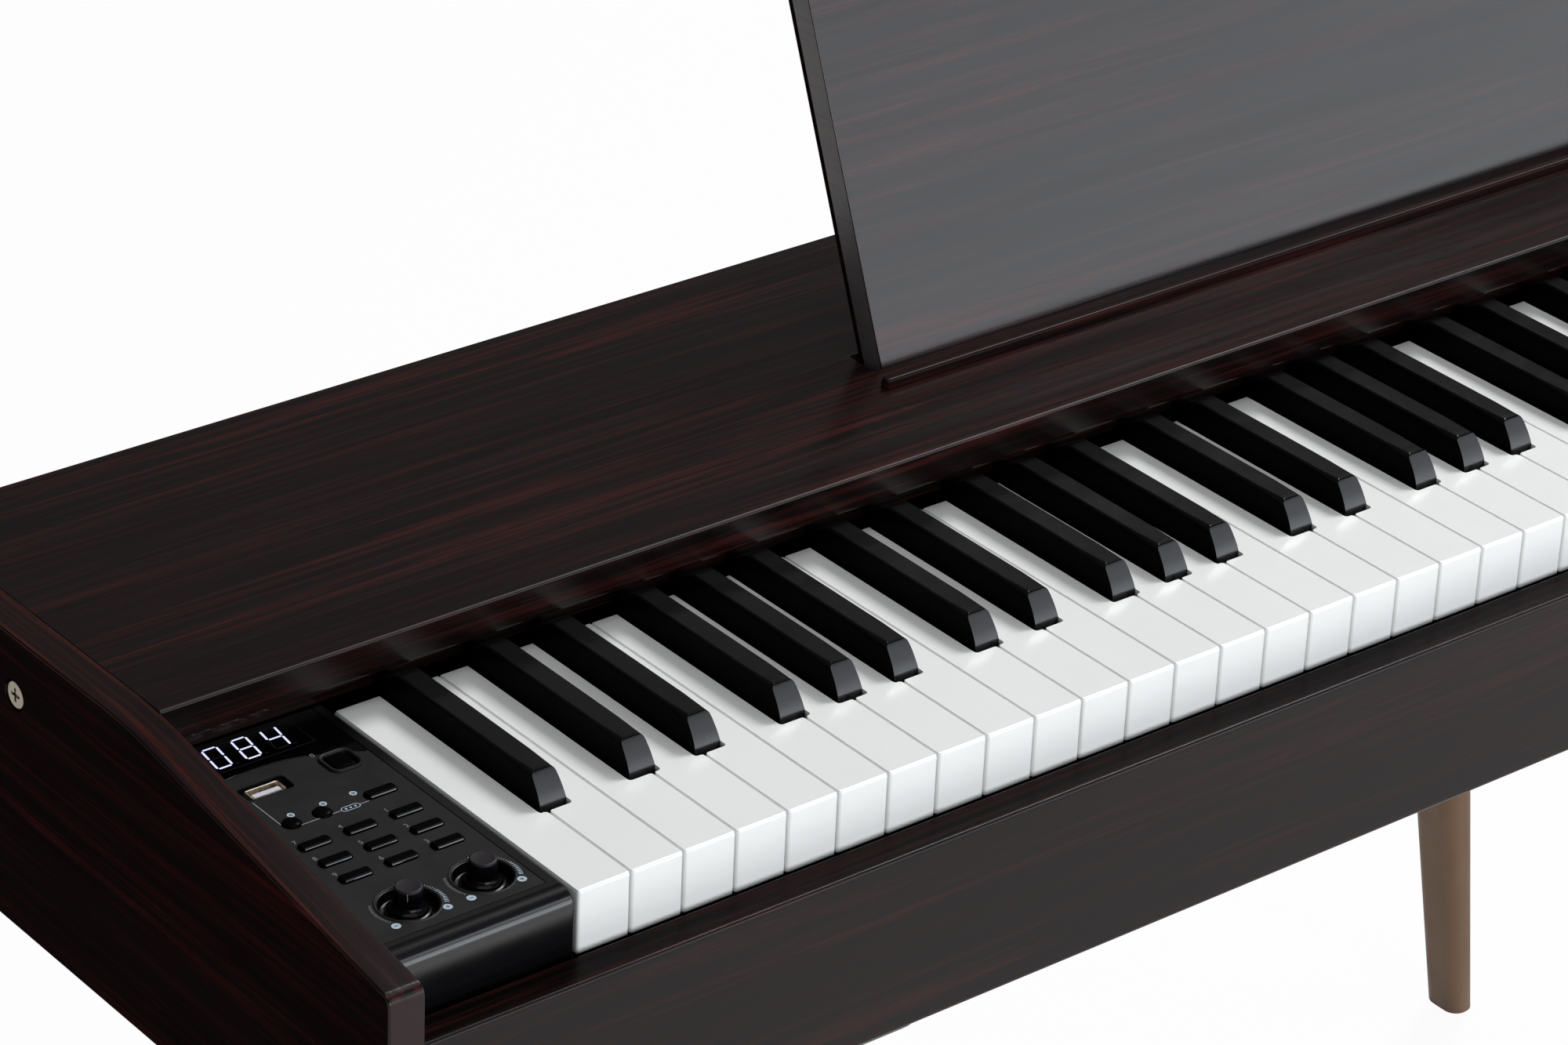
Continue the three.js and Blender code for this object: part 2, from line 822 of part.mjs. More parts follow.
function blockShell(x0, x1, roundedSide) {
  const back = keyFront + blockDepth;
  const side = new THREE.Shape();
  side.moveTo(back, floorTop);
  side.lineTo(back, panelTop);
  side.lineTo(keyFront + blockFrontRadius, panelTop);
  side.quadraticCurveTo(keyFront, panelTop, keyFront, panelTop - blockFrontRadius);
  side.lineTo(keyFront, floorTop);
  const outer = alongX(side, x0, x1, roundSteps);
  const edge = roundedSide > 0 ? x1 : x0;
  const corner = outline([
    [edge - roundedSide * blockSideRadius, panelTop + overrun],
    [edge - roundedSide * blockSideRadius, panelTop],
    [edge, panelTop - blockSideRadius],
    [edge + roundedSide * overrun, panelTop - blockSideRadius],
    [edge + roundedSide * overrun, panelTop + overrun],
  ]);
  const cut = new THREE.ExtrudeGeometry(corner, {
    depth: blockDepth + overrun + overrun,
    bevelEnabled: false,
  });
  cut.rotateX(Math.PI / 2).translate(0, back + overrun, 0);
  const inner = box(
    x0 + blockWall,
    x1 - blockWall,
    keyFront + blockWall,
    back - blockWall,
    floorTop - overrun,
    panelTop - blockTopThickness - plateThickness,
  );
  return outer.subtract(solid(cut)).subtract(inner);
}

const panelLeft = fit - caseInside;
const circuitTop = panelTop - boardDrop;
const plateX0 = panelLeft + plateMargin + plateMargin;
const plateX1 = blockRight - plateRight;
const plateY0 = keyFront + plateFront;
const windowY1 = keyFront + windowBack;
const pocketFloor = panelTop - plateThickness;
const dishFloor = panelTop - dishDepth;
const circuitX0 = panelLeft + blockWall + fit;
const circuitX1 = blockRight - blockWall - fit;

const barButtons = {
  menu: [columnsFromRight[0], rowsFromFront[2]],
  layer: [columnsFromRight[1], rowsFromFront[2]],
  split: [columnsFromRight[2], rowsFromFront[2]],
  song: [columnsFromRight[0], rowsFromFront[1]],
  style: [columnsFromRight[1], rowsFromFront[1]],
  tone: [columnsFromRight[2], rowsFromFront[1]],
  response: [columnsFromRight[0], rowsFromFront[0]],
  transpose: [columnsFromRight[1], rowsFromFront[0]],
  start: [columnsFromRight[2], rowsFromFront[0]],
  play: [columnsFromRight[0], playerRowFromFront],
};
const roundButtons = {
  next: [roundButtonsFromRight[0], playerRowFromFront],
  previous: [roundButtonsFromRight[1], playerRowFromFront],
};
const knobs = {
  select: [knobsFromRight[0], knobFromFront],
  volume: [knobsFromRight[1], knobFromFront],
};

function panelPlace([fromRight, fromFront]) {
  return [blockRight - fromRight, keyFront + fromFront];
}

// A button's outline in X and Y, grown by a clearance for the hole that it moves in.
function barShape(place, growth) {
  const [x, y] = panelPlace(place);
  const halfX = barButtonLength / 2 + growth;
  const halfY = barButtonWidth / 2 + growth;
  return roundedRectangle(x - halfX, x + halfX, y - halfY, y + halfY, barButtonRadius + growth);
}

function roundShape(place, growth) {
  const [x, y] = panelPlace(place);
  const shape = new THREE.Shape();
  return shape.absarc(x, y, roundButtonRadius + growth, 0, Math.PI + Math.PI);
}

function squareShape(half, radius) {
  const [x, y] = panelPlace([powerFromRight, powerFromFront]);
  return roundedRectangle(x - half, x + half, y - half, y + half, radius);
}

function usbRecessShape() {
  const [x, y] = panelPlace([usbFromRight, usbFromFront]);
  const halfX = usbRecessLength / 2;
  const halfY = usbRecessWidth / 2;
  return roundedRectangle(x - halfX, x + halfX, y - halfY, y + halfY, usbRecessRadius);
}

// Holes in the plate that follow the buttons' outlines
function plateHoles(z0, z1) {
  const bars = Object.values(barButtons).map(
    (place) => alongZ(barShape(place, fit), z0, z1, smallCornerSteps),
  );
  const discs = Object.values(roundButtons).map(
    (place) => alongZ(roundShape(place, fit), z0, z1, roundButtonSteps),
  );
  return [...bars, ...discs];
}

// Square-cornered openings in the housing, hidden under the plate
function housingHoles(z0, z1) {
  const bars = Object.values(barButtons).map(
    (place) => [place, barButtonLength / 2, barButtonWidth / 2],
  );
  const discs = Object.values(roundButtons).map(
    (place) => [place, roundButtonRadius, roundButtonRadius],
  );
  const power = [[powerFromRight, powerFromFront], powerButtonSize / 2, powerButtonSize / 2];
  const usb = [[usbFromRight, usbFromFront], usbShellLength / 2, usbShellWidth / 2];
  const display = [[displayFromRight, displayFromFront], displayLength / 2, displayDepth / 2];
  return [...bars, ...discs, power, usb, display].map(([place, halfX, halfY]) => {
    const [x, y] = panelPlace(place);
    const inX = halfX + fit;
    const inY = halfY + fit;
    return box(x - inX, x + inX, y - inY, y + inY, z0, z1);
  });
}

// The plate's rear edge is an arch over the socket, and the window lies behind it.
function archPoint() {
  const peak = blockRight - plateArchPeakFromRight;
  const y = keyFront + plateArchPeak;
  const left = { x: plateX0, y: y - plateArchLeftDrop };
  const right = { x: plateX1, y: y - plateArchRightDrop };
  return { peak, y, left, right };
}

function drawArch(shape, shift) {
  const { peak, y, left, right } = archPoint();
  const reachRight = (right.x - peak) / 2;
  const reachLeft = (peak - left.x) / 2;
  shape.quadraticCurveTo(peak + reachRight, y + shift, peak, y + shift);
  shape.quadraticCurveTo(peak - reachLeft, y + shift, left.x, left.y + shift);
}

function plateShape() {
  const { left, right } = archPoint();
  const shape = new THREE.Shape();
  shape.moveTo(left.x, left.y);
  shape.lineTo(plateX0, plateY0);
  shape.lineTo(plateX1, plateY0);
  shape.lineTo(right.x, right.y);
  drawArch(shape, 0);
  return shape;
}

function windowShape() {
  const { left, right } = archPoint();
  const shape = new THREE.Shape();
  shape.moveTo(left.x, left.y + plateMargin);
  shape.lineTo(plateX0, windowY1);
  shape.lineTo(plateX1, windowY1);
  shape.lineTo(right.x, right.y + plateMargin);
  drawArch(shape, plateMargin);
  return shape;
}

function controlHousing() {
  const pocket = box(
    plateX0 - plateMargin,
    plateX1 + plateMargin,
    plateY0 - plateMargin,
    windowY1 + plateMargin,
    pocketFloor,
    panelTop + overrun,
  );
  let body = blockShell(panelLeft, blockRight, 1);
  const underside = panelTop - blockTopThickness - plateThickness;
  for (const place of Object.values(knobs)) {
    const [x, y] = panelPlace(place);
    const bossBottom = dishFloor - dishFloorThickness;
    body = body.add(discZ(x, y, bossBottom, underside + plateThickness, dishRadius + dishWall));
  }
  for (const x of [circuitX0 + postInset, circuitX1 - postInset]) {
    for (const fromFront of [boardFront + postInset, boardBack - postInset]) {
      const y = keyFront + fromFront;
      body = body.add(discZ(x, y, circuitTop, underside + plateThickness, postRadius, smallDiscSteps));
    }
  }
  body = body.subtract(pocket);
  for (const place of Object.values(knobs)) {
    const [x, y] = panelPlace(place);
    const through = dishFloor - dishFloorThickness - overrun;
    body = body
      .subtract(discZ(x, y, dishFloor, panelTop + overrun, dishRadius))
      .subtract(discZ(x, y, through, panelTop, knobShaftRadius + fit, smallDiscSteps));
  }
  return housingHoles(underside - overrun, panelTop).reduce(
    (rest, hole) => rest.subtract(hole),
    body,
  );
}

// The raised rim round the power button reaches over the plate's rear edge, so the
// window is cut out round it.
const rimInner = powerButtonSize / 2 + powerRimGap;
const rimOuter = rimInner + powerRimWall;
const rimInnerRadius = powerButtonRadius + powerRimGap;
const rimOuterRadius = rimInnerRadius + powerRimWall;

function displayWindow() {
  const z0 = pocketFloor - overrun;
  const z1 = panelTop + overrun;
  const cutout = squareShape(rimOuter + plateMargin, rimOuterRadius + plateMargin);
  return alongZ(windowShape(), pocketFloor, panelTop, roundSteps + roundSteps)
    .subtract(alongZ(cutout, z0, z1));
}

function panelPlate() {
  const z0 = pocketFloor - overrun;
  const z1 = panelTop + overrun;
  let body = alongZ(plateShape(), pocketFloor, panelTop, roundSteps + roundSteps);
  body = body.add(alongZ(
    squareShape(rimOuter, rimOuterRadius),
    pocketFloor,
    panelTop + powerRimHeight,
  ));
  for (const hole of plateHoles(z0, z1)) body = body.subtract(hole);
  for (const place of Object.values(knobs)) {
    const [x, y] = panelPlace(place);
    body = body.subtract(discZ(x, y, z0, z1, dishRadius + fit));
  }
  return body
    .subtract(alongZ(squareShape(rimInner, rimInnerRadius), z0, z1))
    .subtract(alongZ(usbRecessShape(), z0, z1));
}

function knob(place) {
  const [x, y] = panelPlace(place);
  const skirt = dishFloor + knobShaftGap;
  const cone = skirt + knobSkirtHeight;
  const top = panelTop + knobRise;
  return turned([
    [0, circuitTop + knobShaftGap],
    [knobShaftRadius, circuitTop + knobShaftGap],
    [knobShaftRadius, skirt],
    [knobSkirtRadius, skirt],
    [knobSkirtRadius, skirt + knobSkirtEdge],
    [knobCapRadius, cone],
    [knobTopRadius + knobTopRound, top - knobTopRound],
    [knobTopRadius, top],
    [0, top],
  ], x, y);
}

function circuitBoard() {
  const z0 = circuitTop - circuitThickness;
  const buttonFoot = panelTop - buttonStemLength;
  let body = box(
    circuitX0,
    circuitX1,
    keyFront + boardFront,
    keyFront + boardBack,
    z0,
    circuitTop,
  );
  const places = [
    ...Object.values(barButtons),
    ...Object.values(roundButtons),
    [powerFromRight, powerFromFront],
  ];
  for (const place of places) {
    const [x, y] = panelPlace(place);
    const half = switchSize / 2;
    body = body.add(box(x - half, x + half, y - half, y + half, z0, buttonFoot - switchGap));
  }
  const [x, y] = panelPlace([displayFromRight, displayFromFront]);
  return body.add(box(
    x - displayLength / 2,
    x + displayLength / 2,
    y - displayDepth / 2,
    y + displayDepth / 2,
    z0,
    pocketFloor - fit,
  ));
}

function usbSocket() {
  const [x, y] = panelPlace([usbFromRight, usbFromFront]);
  const halfX = usbShellLength / 2;
  const halfY = usbShellWidth / 2;
  const bottom = pocketFloor - usbShellDepth;
  const hollowFloor = bottom + usbFloor;
  const inX = halfX - usbShellWall;
  const inY = halfY - usbShellWall;
  const tongueX = inX - usbTongueSideGap;
  const tongue = usbTongueWidth / 2;
  return box(x - halfX, x + halfX, y - halfY, y + halfY, bottom, pocketFloor)
    .subtract(box(x - inX, x + inX, y - inY, y + inY, hollowFloor, pocketFloor + overrun))
    .add(box(
      x - tongueX,
      x + tongueX,
      y - tongue,
      y + tongue,
      bottom,
      pocketFloor - usbTongueDrop,
    ));
}

add('control_housing', controlHousing(), glossBlack, 0.3);
add('right_end_block', blockShell(-blockRight, caseInside - fit, -1), glossBlack, 0.3);
add('panel_plate', panelPlate(), panelGrey, 0.6);
add('display_window', displayWindow(), glossBlack, 0.08);
add('panel_circuit_board', circuitBoard(), circuitGreen, 0.5);
add('usb_socket', usbSocket(), steel, 0.3, 1);

function button(shape, rise, steps) {
  return alongZ(shape, panelTop - buttonStemLength, panelTop + rise, steps);
}

for (const [name, place] of Object.entries(barButtons)) {
  const body = button(barShape(place, 0), buttonRise, smallCornerSteps);
  add(`${name}_button`, body, blackPlastic, 0.3);
}
for (const [name, place] of Object.entries(roundButtons)) {
  const body = button(roundShape(place, 0), buttonRise, roundButtonSteps);
  add(`${name}_button`, body, blackPlastic, 0.3);
}
const powerShape = squareShape(powerButtonSize / 2, powerButtonRadius);
add('power_button', button(powerShape, powerButtonRise, smallCornerSteps), blackPlastic, 0.3);
for (const [name, place] of Object.entries(knobs)) {
  add(`${name}_knob`, knob(place), blackPlastic, 0.25);
}

// Inside the case: speakers that face down through the bottom board, and the main board

function speaker(x) {
  const rim = floorTop + speakerFlange;
  const cone = rim + speakerConeHeight;
  const top = cone + speakerMagnetHeight;
  const coneRadius = speakerRadius * speakerConeShare;
  const magnetRadius = speakerRadius * speakerMagnetShare;
  return turned([
    [0, floorTop],
    [speakerRadius, floorTop],
    [speakerRadius, rim],
    [coneRadius, rim],
    [magnetRadius, cone],
    [magnetRadius, top],
    [0, top],
  ], x, rearMiddle);
}

function mainBoard() {
  const x1 = mainBoardStart + mainBoardLength;
  const y0 = frameRear + behindFrameRoom;
  const y1 = y0 + rearDepth * mainBoardDepthShare;
  const z0 = floorTop + mainBoardLift;
  let body = box(mainBoardStart, x1, y0, y1, z0, z0 + circuitThickness);
  for (const x of [mainBoardStart + mainPegInset, x1 - mainPegInset]) {
    for (const y of [y0 + mainPegInset, y1 - mainPegInset]) {
      body = body.add(discZ(x, y, floorTop, z0 + circuitThickness, mainPegRadius, smallDiscSteps));
    }
  }
  return body;
}

function powerInlet() {
  const x = inletFromMiddle;
  const z = floorTop + socketAboveBottom;
  const halfX = inletLength / 2;
  const halfZ = inletHeight / 2;
  const flangeX = halfX + inletFlangeOverlap;
  const flangeZ = halfZ + inletFlangeOverlap;
  const face = caseBack + socketFlange;
  const boreFloor = face - inletBoreDepth;
  const front = backPanelFront - rearDepth * inletReachShare;
  const body = box(x - halfX, x + halfX, front, face, z - halfZ, z + halfZ);
  return body
    .add(box(x - flangeX, x + flangeX, caseBack, face, z - flangeZ, z + flangeZ))
    .subtract(discY(x, z, boreFloor, face + overrun, inletBoreRadius))
    .add(discY(x, z, boreFloor - fit, face - fit, inletPinRadius, smallDiscSteps));
}

function headphoneSocket() {
  const x = headphoneFromMiddle;
  const z = floorTop + socketAboveBottom;
  const half = headphoneBodySize / 2;
  const flange = half + headphoneFlangeOverlap;
  const face = caseBack + socketFlange;
  const front = backPanelFront - rearDepth * headphoneReachShare;
  return box(x - half, x + half, front, face, z - half, z + half)
    .add(box(x - flange, x + flange, caseBack, face, z - flange, z + flange))
    .subtract(discY(x, z, front + headphoneEndWall, face + overrun, headphoneBoreRadius));
}

add('left_speaker', speaker(-speakerFromMiddle), darkSteel, 0.6);
add('right_speaker', speaker(speakerFromMiddle), darkSteel, 0.6);
add('main_circuit_board', mainBoard(), circuitGreen, 0.5);
add('power_inlet', powerInlet(), blackPlastic, 0.5);
add('headphone_socket', headphoneSocket(), blackPlastic, 0.5);

export default piano;
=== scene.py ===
from math import asin, copysign, cos, pi, radians, sin, sqrt

import bmesh
import bpy
from mathutils import Matrix, Vector


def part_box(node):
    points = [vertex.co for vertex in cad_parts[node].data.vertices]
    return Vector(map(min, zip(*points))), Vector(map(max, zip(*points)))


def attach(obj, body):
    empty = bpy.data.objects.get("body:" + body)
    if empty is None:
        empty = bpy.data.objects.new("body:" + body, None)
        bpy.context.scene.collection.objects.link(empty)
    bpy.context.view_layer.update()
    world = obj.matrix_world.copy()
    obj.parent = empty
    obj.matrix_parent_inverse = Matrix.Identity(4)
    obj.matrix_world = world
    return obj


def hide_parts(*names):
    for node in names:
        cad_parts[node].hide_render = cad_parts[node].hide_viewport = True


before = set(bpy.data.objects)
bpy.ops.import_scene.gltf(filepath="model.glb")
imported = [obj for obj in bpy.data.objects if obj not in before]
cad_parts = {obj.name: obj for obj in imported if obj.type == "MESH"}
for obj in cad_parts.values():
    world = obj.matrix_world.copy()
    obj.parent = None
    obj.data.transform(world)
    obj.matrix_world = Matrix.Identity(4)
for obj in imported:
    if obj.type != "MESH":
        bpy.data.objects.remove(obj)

MM = 0.001
scene = bpy.context.scene
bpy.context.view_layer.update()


# Outlines: lists of points that run counterclockwise

def arc(x, y, radius, start, end, steps=8):
    angles = [radians(start + (end - start) * i / steps) for i in range(steps + 1)]
    return [(x + radius * cos(a), y + radius * sin(a)) for a in angles]


def rounded(x0, x1, y0, y1, radius, steps=6):
    return (
        arc(x1 - radius, y0 + radius, radius, -90, 0, steps)
        + arc(x1 - radius, y1 - radius, radius, 0, 90, steps)
        + arc(x0 + radius, y1 - radius, radius, 90, 180, steps)
        + arc(x0 + radius, y0 + radius, radius, 180, 270, steps)
    )


def around(x, y, half_x, half_y, radius, steps=6):
    return rounded(x - half_x, x + half_x, y - half_y, y + half_y, radius, steps)


def cross(x, y, reach, half, radius, steps):
    """The two arms of a cross slot."""
    return [around(x, y, *sizes, radius, steps) for sizes in ((reach, half), (half, reach))]


def circle(x, y, radius, count=48):
    return arc(x, y, radius, 0, 360, count)[:-1]


def softened(corners, steps=4):
    """Corner points with the distance from each at which its rounding starts."""
    points = []
    for i, (x, y, reach) in enumerate(corners):
        if not reach:
            points.append((x, y))
            continue
        corner = Vector((x, y))
        back = (Vector(corners[i - 1][:2]) - corner).normalized() * reach
        ahead = (Vector(corners[(i + 1) % len(corners)][:2]) - corner).normalized() * reach
        for k in range(steps + 1):
            t = k / steps
            points.append(tuple(corner + back * (1 - t) ** 2 + ahead * t ** 2))
    return points


def inset(points, amount):
    """The outline moved inwards, square to its edges."""
    if not amount:
        return list(points)
    moved = []
    for i, point in enumerate(points):
        here = Vector(point)
        before = (here - Vector(points[i - 1])).normalized()
        after = (Vector(points[(i + 1) % len(points)]) - here).normalized()
        a, b = Vector((-before.y, before.x)), Vector((-after.y, after.x))
        moved.append(tuple(here + (a + b) * (amount / max(0.3, 1 + a.dot(b)))))
    return moved


# Shapes: a list of corner points and a list of faces

def loft(rings, closed=False):
    """Rings with equally many points, joined one to the next."""
    count = len(rings[0])
    points = [point for ring in rings for point in ring]
    faces = []
    for r in range(len(rings) if closed else len(rings) - 1):
        low, high = r * count, (r + 1) % len(rings) * count
        for i in range(count):
            j = (i + 1) % count
            faces.append((low + i, low + j, high + j, high + i))
    if not closed:
        faces.append(tuple(reversed(range(count))))
        faces.append(tuple(range(len(points) - count, len(points))))
    return points, faces


def levels(z0, z1, low=0, high=0, steps=4):
    """Heights and insets of a slab whose lower and upper edges are rounded."""
    turns = [pi / 2 * i / steps for i in range(steps + 1)]
    start = [(z0 + low * (1 - cos(t)), low * (1 - sin(t))) for t in turns]
    end = [(z1 - high + high * sin(t), high * (1 - cos(t))) for t in turns]
    return (start if low else [(z0, 0)]) + (end if high else [(z1, 0)])


def ring_at(outline, z, amount=0):
    return [(x, y, z) for x, y in inset(outline, amount)]


def slab(outline, z0, z1, low=0, high=0, steps=4):
    return loft([ring_at(outline, z, amount) for z, amount in levels(z0, z1, low, high, steps)])


def along_x(outline, x0, x1, low=0, high=0, steps=4):
    """A slab whose outline is drawn in Y and Z."""
    points, faces = slab(outline, x0, x1, low, high, steps)
    return [(z, x, y) for x, y, z in points], faces


def turned(profile, x, y, count=64, closed=False, flutes=0, flute_depth=0, fluted=()):
    """A shape turned about an upright axis. The rings named in fluted are grooved."""
    rings = []
    for k, (radius, z) in enumerate(profile):
        ring = []
        for i in range(count):
            a = 2 * pi * i / count
            r = radius
            if k in fluted:
                r -= flute_depth * (0.5 - 0.5 * cos(a * flutes)) ** 2
            ring.append((x + r * cos(a), y + r * sin(a), z))
        rings.append(ring)
    return loft(rings, closed)


def joined(*shapes):
    points, faces = [], []
    for more_points, more_faces in shapes:
        start = len(points)
        points += more_points
        faces += [tuple(i + start for i in face) for face in more_faces]
    return points, faces


def placed(shape, matrix):
    return [tuple(matrix @ Vector(point)) for point in shape[0]], shape[1]


def frame_at(origin, x_axis, y_axis, z_axis):
    columns = [(*axis, 0) for axis in (x_axis, y_axis, z_axis)] + [(*origin, 1)]
    return Matrix(columns).transposed()


# Pieces

def mesh_of(name, shape):
    mesh = bpy.data.meshes.new(name)
    mesh.from_pydata([Vector(point) * MM for point in shape[0]], [], shape[1])
    work = bmesh.new()
    work.from_mesh(mesh)
    bmesh.ops.recalc_face_normals(work, faces=work.faces)
    work.to_mesh(mesh)
    work.free()
    return mesh


def smooth(mesh, angle):
    mesh.polygons.foreach_set("use_smooth", [True] * len(mesh.polygons))
    mesh.set_sharp_from_angle(angle=radians(angle))


def link(name, data):
    made = bpy.data.objects.new(name, data)
    scene.collection.objects.link(made)
    return made


def evaluated_mesh(obj):
    bpy.context.view_layer.update()
    graph = bpy.context.evaluated_depsgraph_get()
    return bpy.data.meshes.new_from_object(obj.evaluated_get(graph))


def apply_modifiers(obj):
    mesh = evaluated_mesh(obj)
    obj.modifiers.clear()
    obj.data = mesh


def shape_of(mesh, corner=(0, 0, 0)):
    """A mesh as a shape, in millimetres, moved by corner."""
    points = [tuple(a / MM + b for a, b in zip(v.co, corner)) for v in mesh.vertices]
    return points, [tuple(face.vertices) for face in mesh.polygons]


def carve(obj, *cutters):
    """Cuts shapes, which lie clear of each other, out of the object."""
    tool = link("cutter", mesh_of("cutter", joined(*cutters)))
    cut = obj.modifiers.new("cut", "BOOLEAN")
    cut.operation = "DIFFERENCE"
    cut.solver = "EXACT"
    cut.object = tool
    apply_modifiers(obj)
    bpy.data.objects.remove(tool)


def bevel(obj, width):
    edge = obj.modifiers.new("edges", "BEVEL")
    edge.width = width * MM
    edge.segments = 2
    edge.limit_method = "ANGLE"
    edge.angle_limit = radians(35)
    edge.miter_outer = "MITER_ARC"
    apply_modifiers(obj)


def piece(
    name, shape, material, nodes=(), body="case", angle=40, carved=(), edge=0, faced=()
):
    """A shape as a piece of the piano, in place of the nodes that it names. Each entry of
    carved is one round of cutting. Each entry of faced is a direction, the material of the
    faces that look that way, and the least cosine between the two."""
    mesh = shape if isinstance(shape, bpy.types.Mesh) else mesh_of(name, shape)
    made = link(name, mesh)
    for cutters in carved:
        carve(made, *cutters)
    if edge:
        bevel(made, edge)
    made.data.materials.clear()
    made.data.materials.append(material)
    for index, (way, face_material, least) in enumerate(faced, 1):
        made.data.materials.append(face_material)
        for face in made.data.polygons:
            if face.normal.dot(Vector(way).normalized()) > least:
                face.material_index = index
    smooth(made.data, angle)
    weighted = made.modifiers.new("flat faces", "WEIGHTED_NORMAL")
    weighted.keep_sharp = True
    apply_modifiers(made)
    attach(made, body)
    if nodes:
        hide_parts(*nodes)


def node_mesh(node):
    """A CAD node's mesh with its flat faces whole, to be dressed as a new piece."""
    work = bmesh.new()
    work.from_mesh(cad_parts[node].data)
    bmesh.ops.remove_doubles(work, verts=work.verts, dist=0.002 * MM)
    bmesh.ops.dissolve_limit(work, angle_limit=radians(1), verts=work.verts, edges=work.edges)
    mesh = bpy.data.meshes.new(node + "_dressed")
    work.to_mesh(mesh)
    work.free()
    return mesh


# Materials

def linear(red, green, blue):
    """A colour in steps of 255, as a screen shows it, in linear light."""
    steps = [c / 255 for c in (red, green, blue)]
    return tuple(((c + 0.055) / 1.055) ** 2.4 if c > 0.04 else c / 12.92 for c in steps) + (1,)


def shade(colour, share):
    """The colour made darker, or lighter where share is over 1."""
    return tuple(min(1, c * share) for c in colour[:3]) + (1,)


def connect(tree, socket, value):
    if isinstance(value, bpy.types.NodeSocket):
        tree.links.new(value, socket)
    else:
        socket.default_value = value


def add_node(tree, kind, inputs=None, **settings):
    made = tree.nodes.new("ShaderNode" + kind)
    for name, value in settings.items():
        setattr(made, name, value)
    for name, value in (inputs or {}).items():
        connect(tree, made.inputs[name], value)
    return made


class Look:
    """A material made of nodes round one Principled shader."""

    def __init__(self, name, colour, roughness, metallic=0, specular=0.5, ior=1.5):
        self.base = linear(*colour)
        self.roughness = roughness
        self.material = bpy.data.materials.new(name)
        self.material.use_nodes = True
        self.tree = self.material.node_tree
        self.shader = self.tree.nodes["Principled BSDF"]
        self.feed("Roughness", roughness)
        self.feed("Metallic", metallic)
        self.feed("Specular IOR Level", specular)
        self.feed("IOR", ior)
        self.place = self.add("TexCoord").outputs["Object"]

    def add(self, kind, inputs=None, **settings):
        return add_node(self.tree, kind, inputs, **settings)

    def feed(self, name, value):
        connect(self.tree, self.shader.inputs[name], value)

    def noise(self, stretch, detail=4, rough=0.5, distortion=0, offset=(0, 0, 0)):
        """Noise with so many turns a metre along each axis."""
        if not isinstance(stretch, tuple):
            stretch = (stretch,) * 3
        inputs = {"Vector": self.place, "Scale": stretch, "Location": offset}
        place = self.add("Mapping", inputs).outputs["Vector"]
        return self.add("TexNoise", {
            "Vector": place, "Scale": 1, "Detail": detail, "Roughness": rough,
            "Distortion": distortion,
        }).outputs["Fac"]

    def spread(self, value, low, high, to_low=0, to_high=1):
        return self.add("MapRange", {
            "Value": value, "From Min": low, "From Max": high, "To Min": to_low, "To Max": to_high,
        }).outputs["Result"]

    def times(self, a, b):
        return self.add("Math", {0: a, 1: b}, operation="MULTIPLY").outputs[0]

    def mix(self, share, a, b):
        made = self.add("Mix", {0: share, 6: a, 7: b}, data_type="RGBA")
        return made.outputs[2]

    def colour(self, value):
        self.feed("Base Color", value)

    def tones(self, mask, low=1, high=1):
        """The base colour, from one share of its lightness to another."""
        self.colour(self.mix(mask, shade(self.base, low), shade(self.base, high)))

    def vary_roughness(self, mask, low, high):
        low, high = self.roughness * low, self.roughness * high
        self.feed("Roughness", self.spread(mask, 0.3, 0.7, low, high))

    def bump(self, height, strength, depth):
        inputs = {"Height": height, "Strength": strength, "Distance": depth * MM}
        self.feed("Normal", self.add("Bump", inputs).outputs["Normal"])


def plastic(name, colour, roughness, grain=900, depth=0.02, shift=0.12, **shader):
    """Moulded plastic: a fine texture, and slight changes of tone and gloss."""
    look = Look(name, colour, roughness, **shader)
    look.tones(look.spread(look.noise(14, 3, 0.6), 0.35, 0.65), 1 - shift, 1 + shift)
    look.vary_roughness(look.noise(45, 5, 0.7, 1.5), 0.86, 1.16)
    look.bump(look.noise(grain, 2, 0.5), 0.25, depth)
    return look.material


def wood_foil(name, axes, dark, streak, roughness, specular, ior=1.5, shown=0.75):
    """Dark wood foil: reddish fibres in drifting bands along the axes, with dark pores."""
    look = Look(name, dark, roughness, specular=specular, ior=ior)
    dark, streak, deep = look.base, linear(*streak), shade(look.base, 0.45)

    def grain(along, across):
        return tuple(along if i in axes else across for i in range(3))

    bands = look.noise(grain(1.6, 34), 3, 0.55, 0.5)
    fibres = look.noise(grain(7, 330), 5, 0.62, 0.5, (7, 3, 5))
    veins = look.noise(grain(3, 130), 4, 0.6, 0.8, (1, 6, 2))
    clouds = look.noise(grain(1.2, 9), 3, 0.5, 0.3, (2, 9, 4))
    pores = look.noise(grain(24, 850), 3, 0.7, 0, (1, 1, 8))
    strong = look.spread(bands, 0.4, 0.62, 0.3, 1)
    fine = look.times(look.spread(fibres, 0.46, 0.68), strong)
    broad = look.times(look.spread(veins, 0.56, 0.7), look.spread(bands, 0.45, 0.65))
    red = look.mix(look.spread(fine, 0, 1, 0, shown), dark, streak)
    red = look.mix(look.spread(broad, 0, 1, 0, shown), red, streak)
    tone = look.mix(look.spread(clouds, 0.35, 0.7, 0, 0.45), red, deep)
    look.colour(look.mix(look.spread(pores, 0.34, 0.47, 0.55, 0), tone, deep))
    look.vary_roughness(look.noise(grain(5, 120), 4), 0.85, 1.2)
    look.bump(pores, 0.35, 0.08)
    return look.material


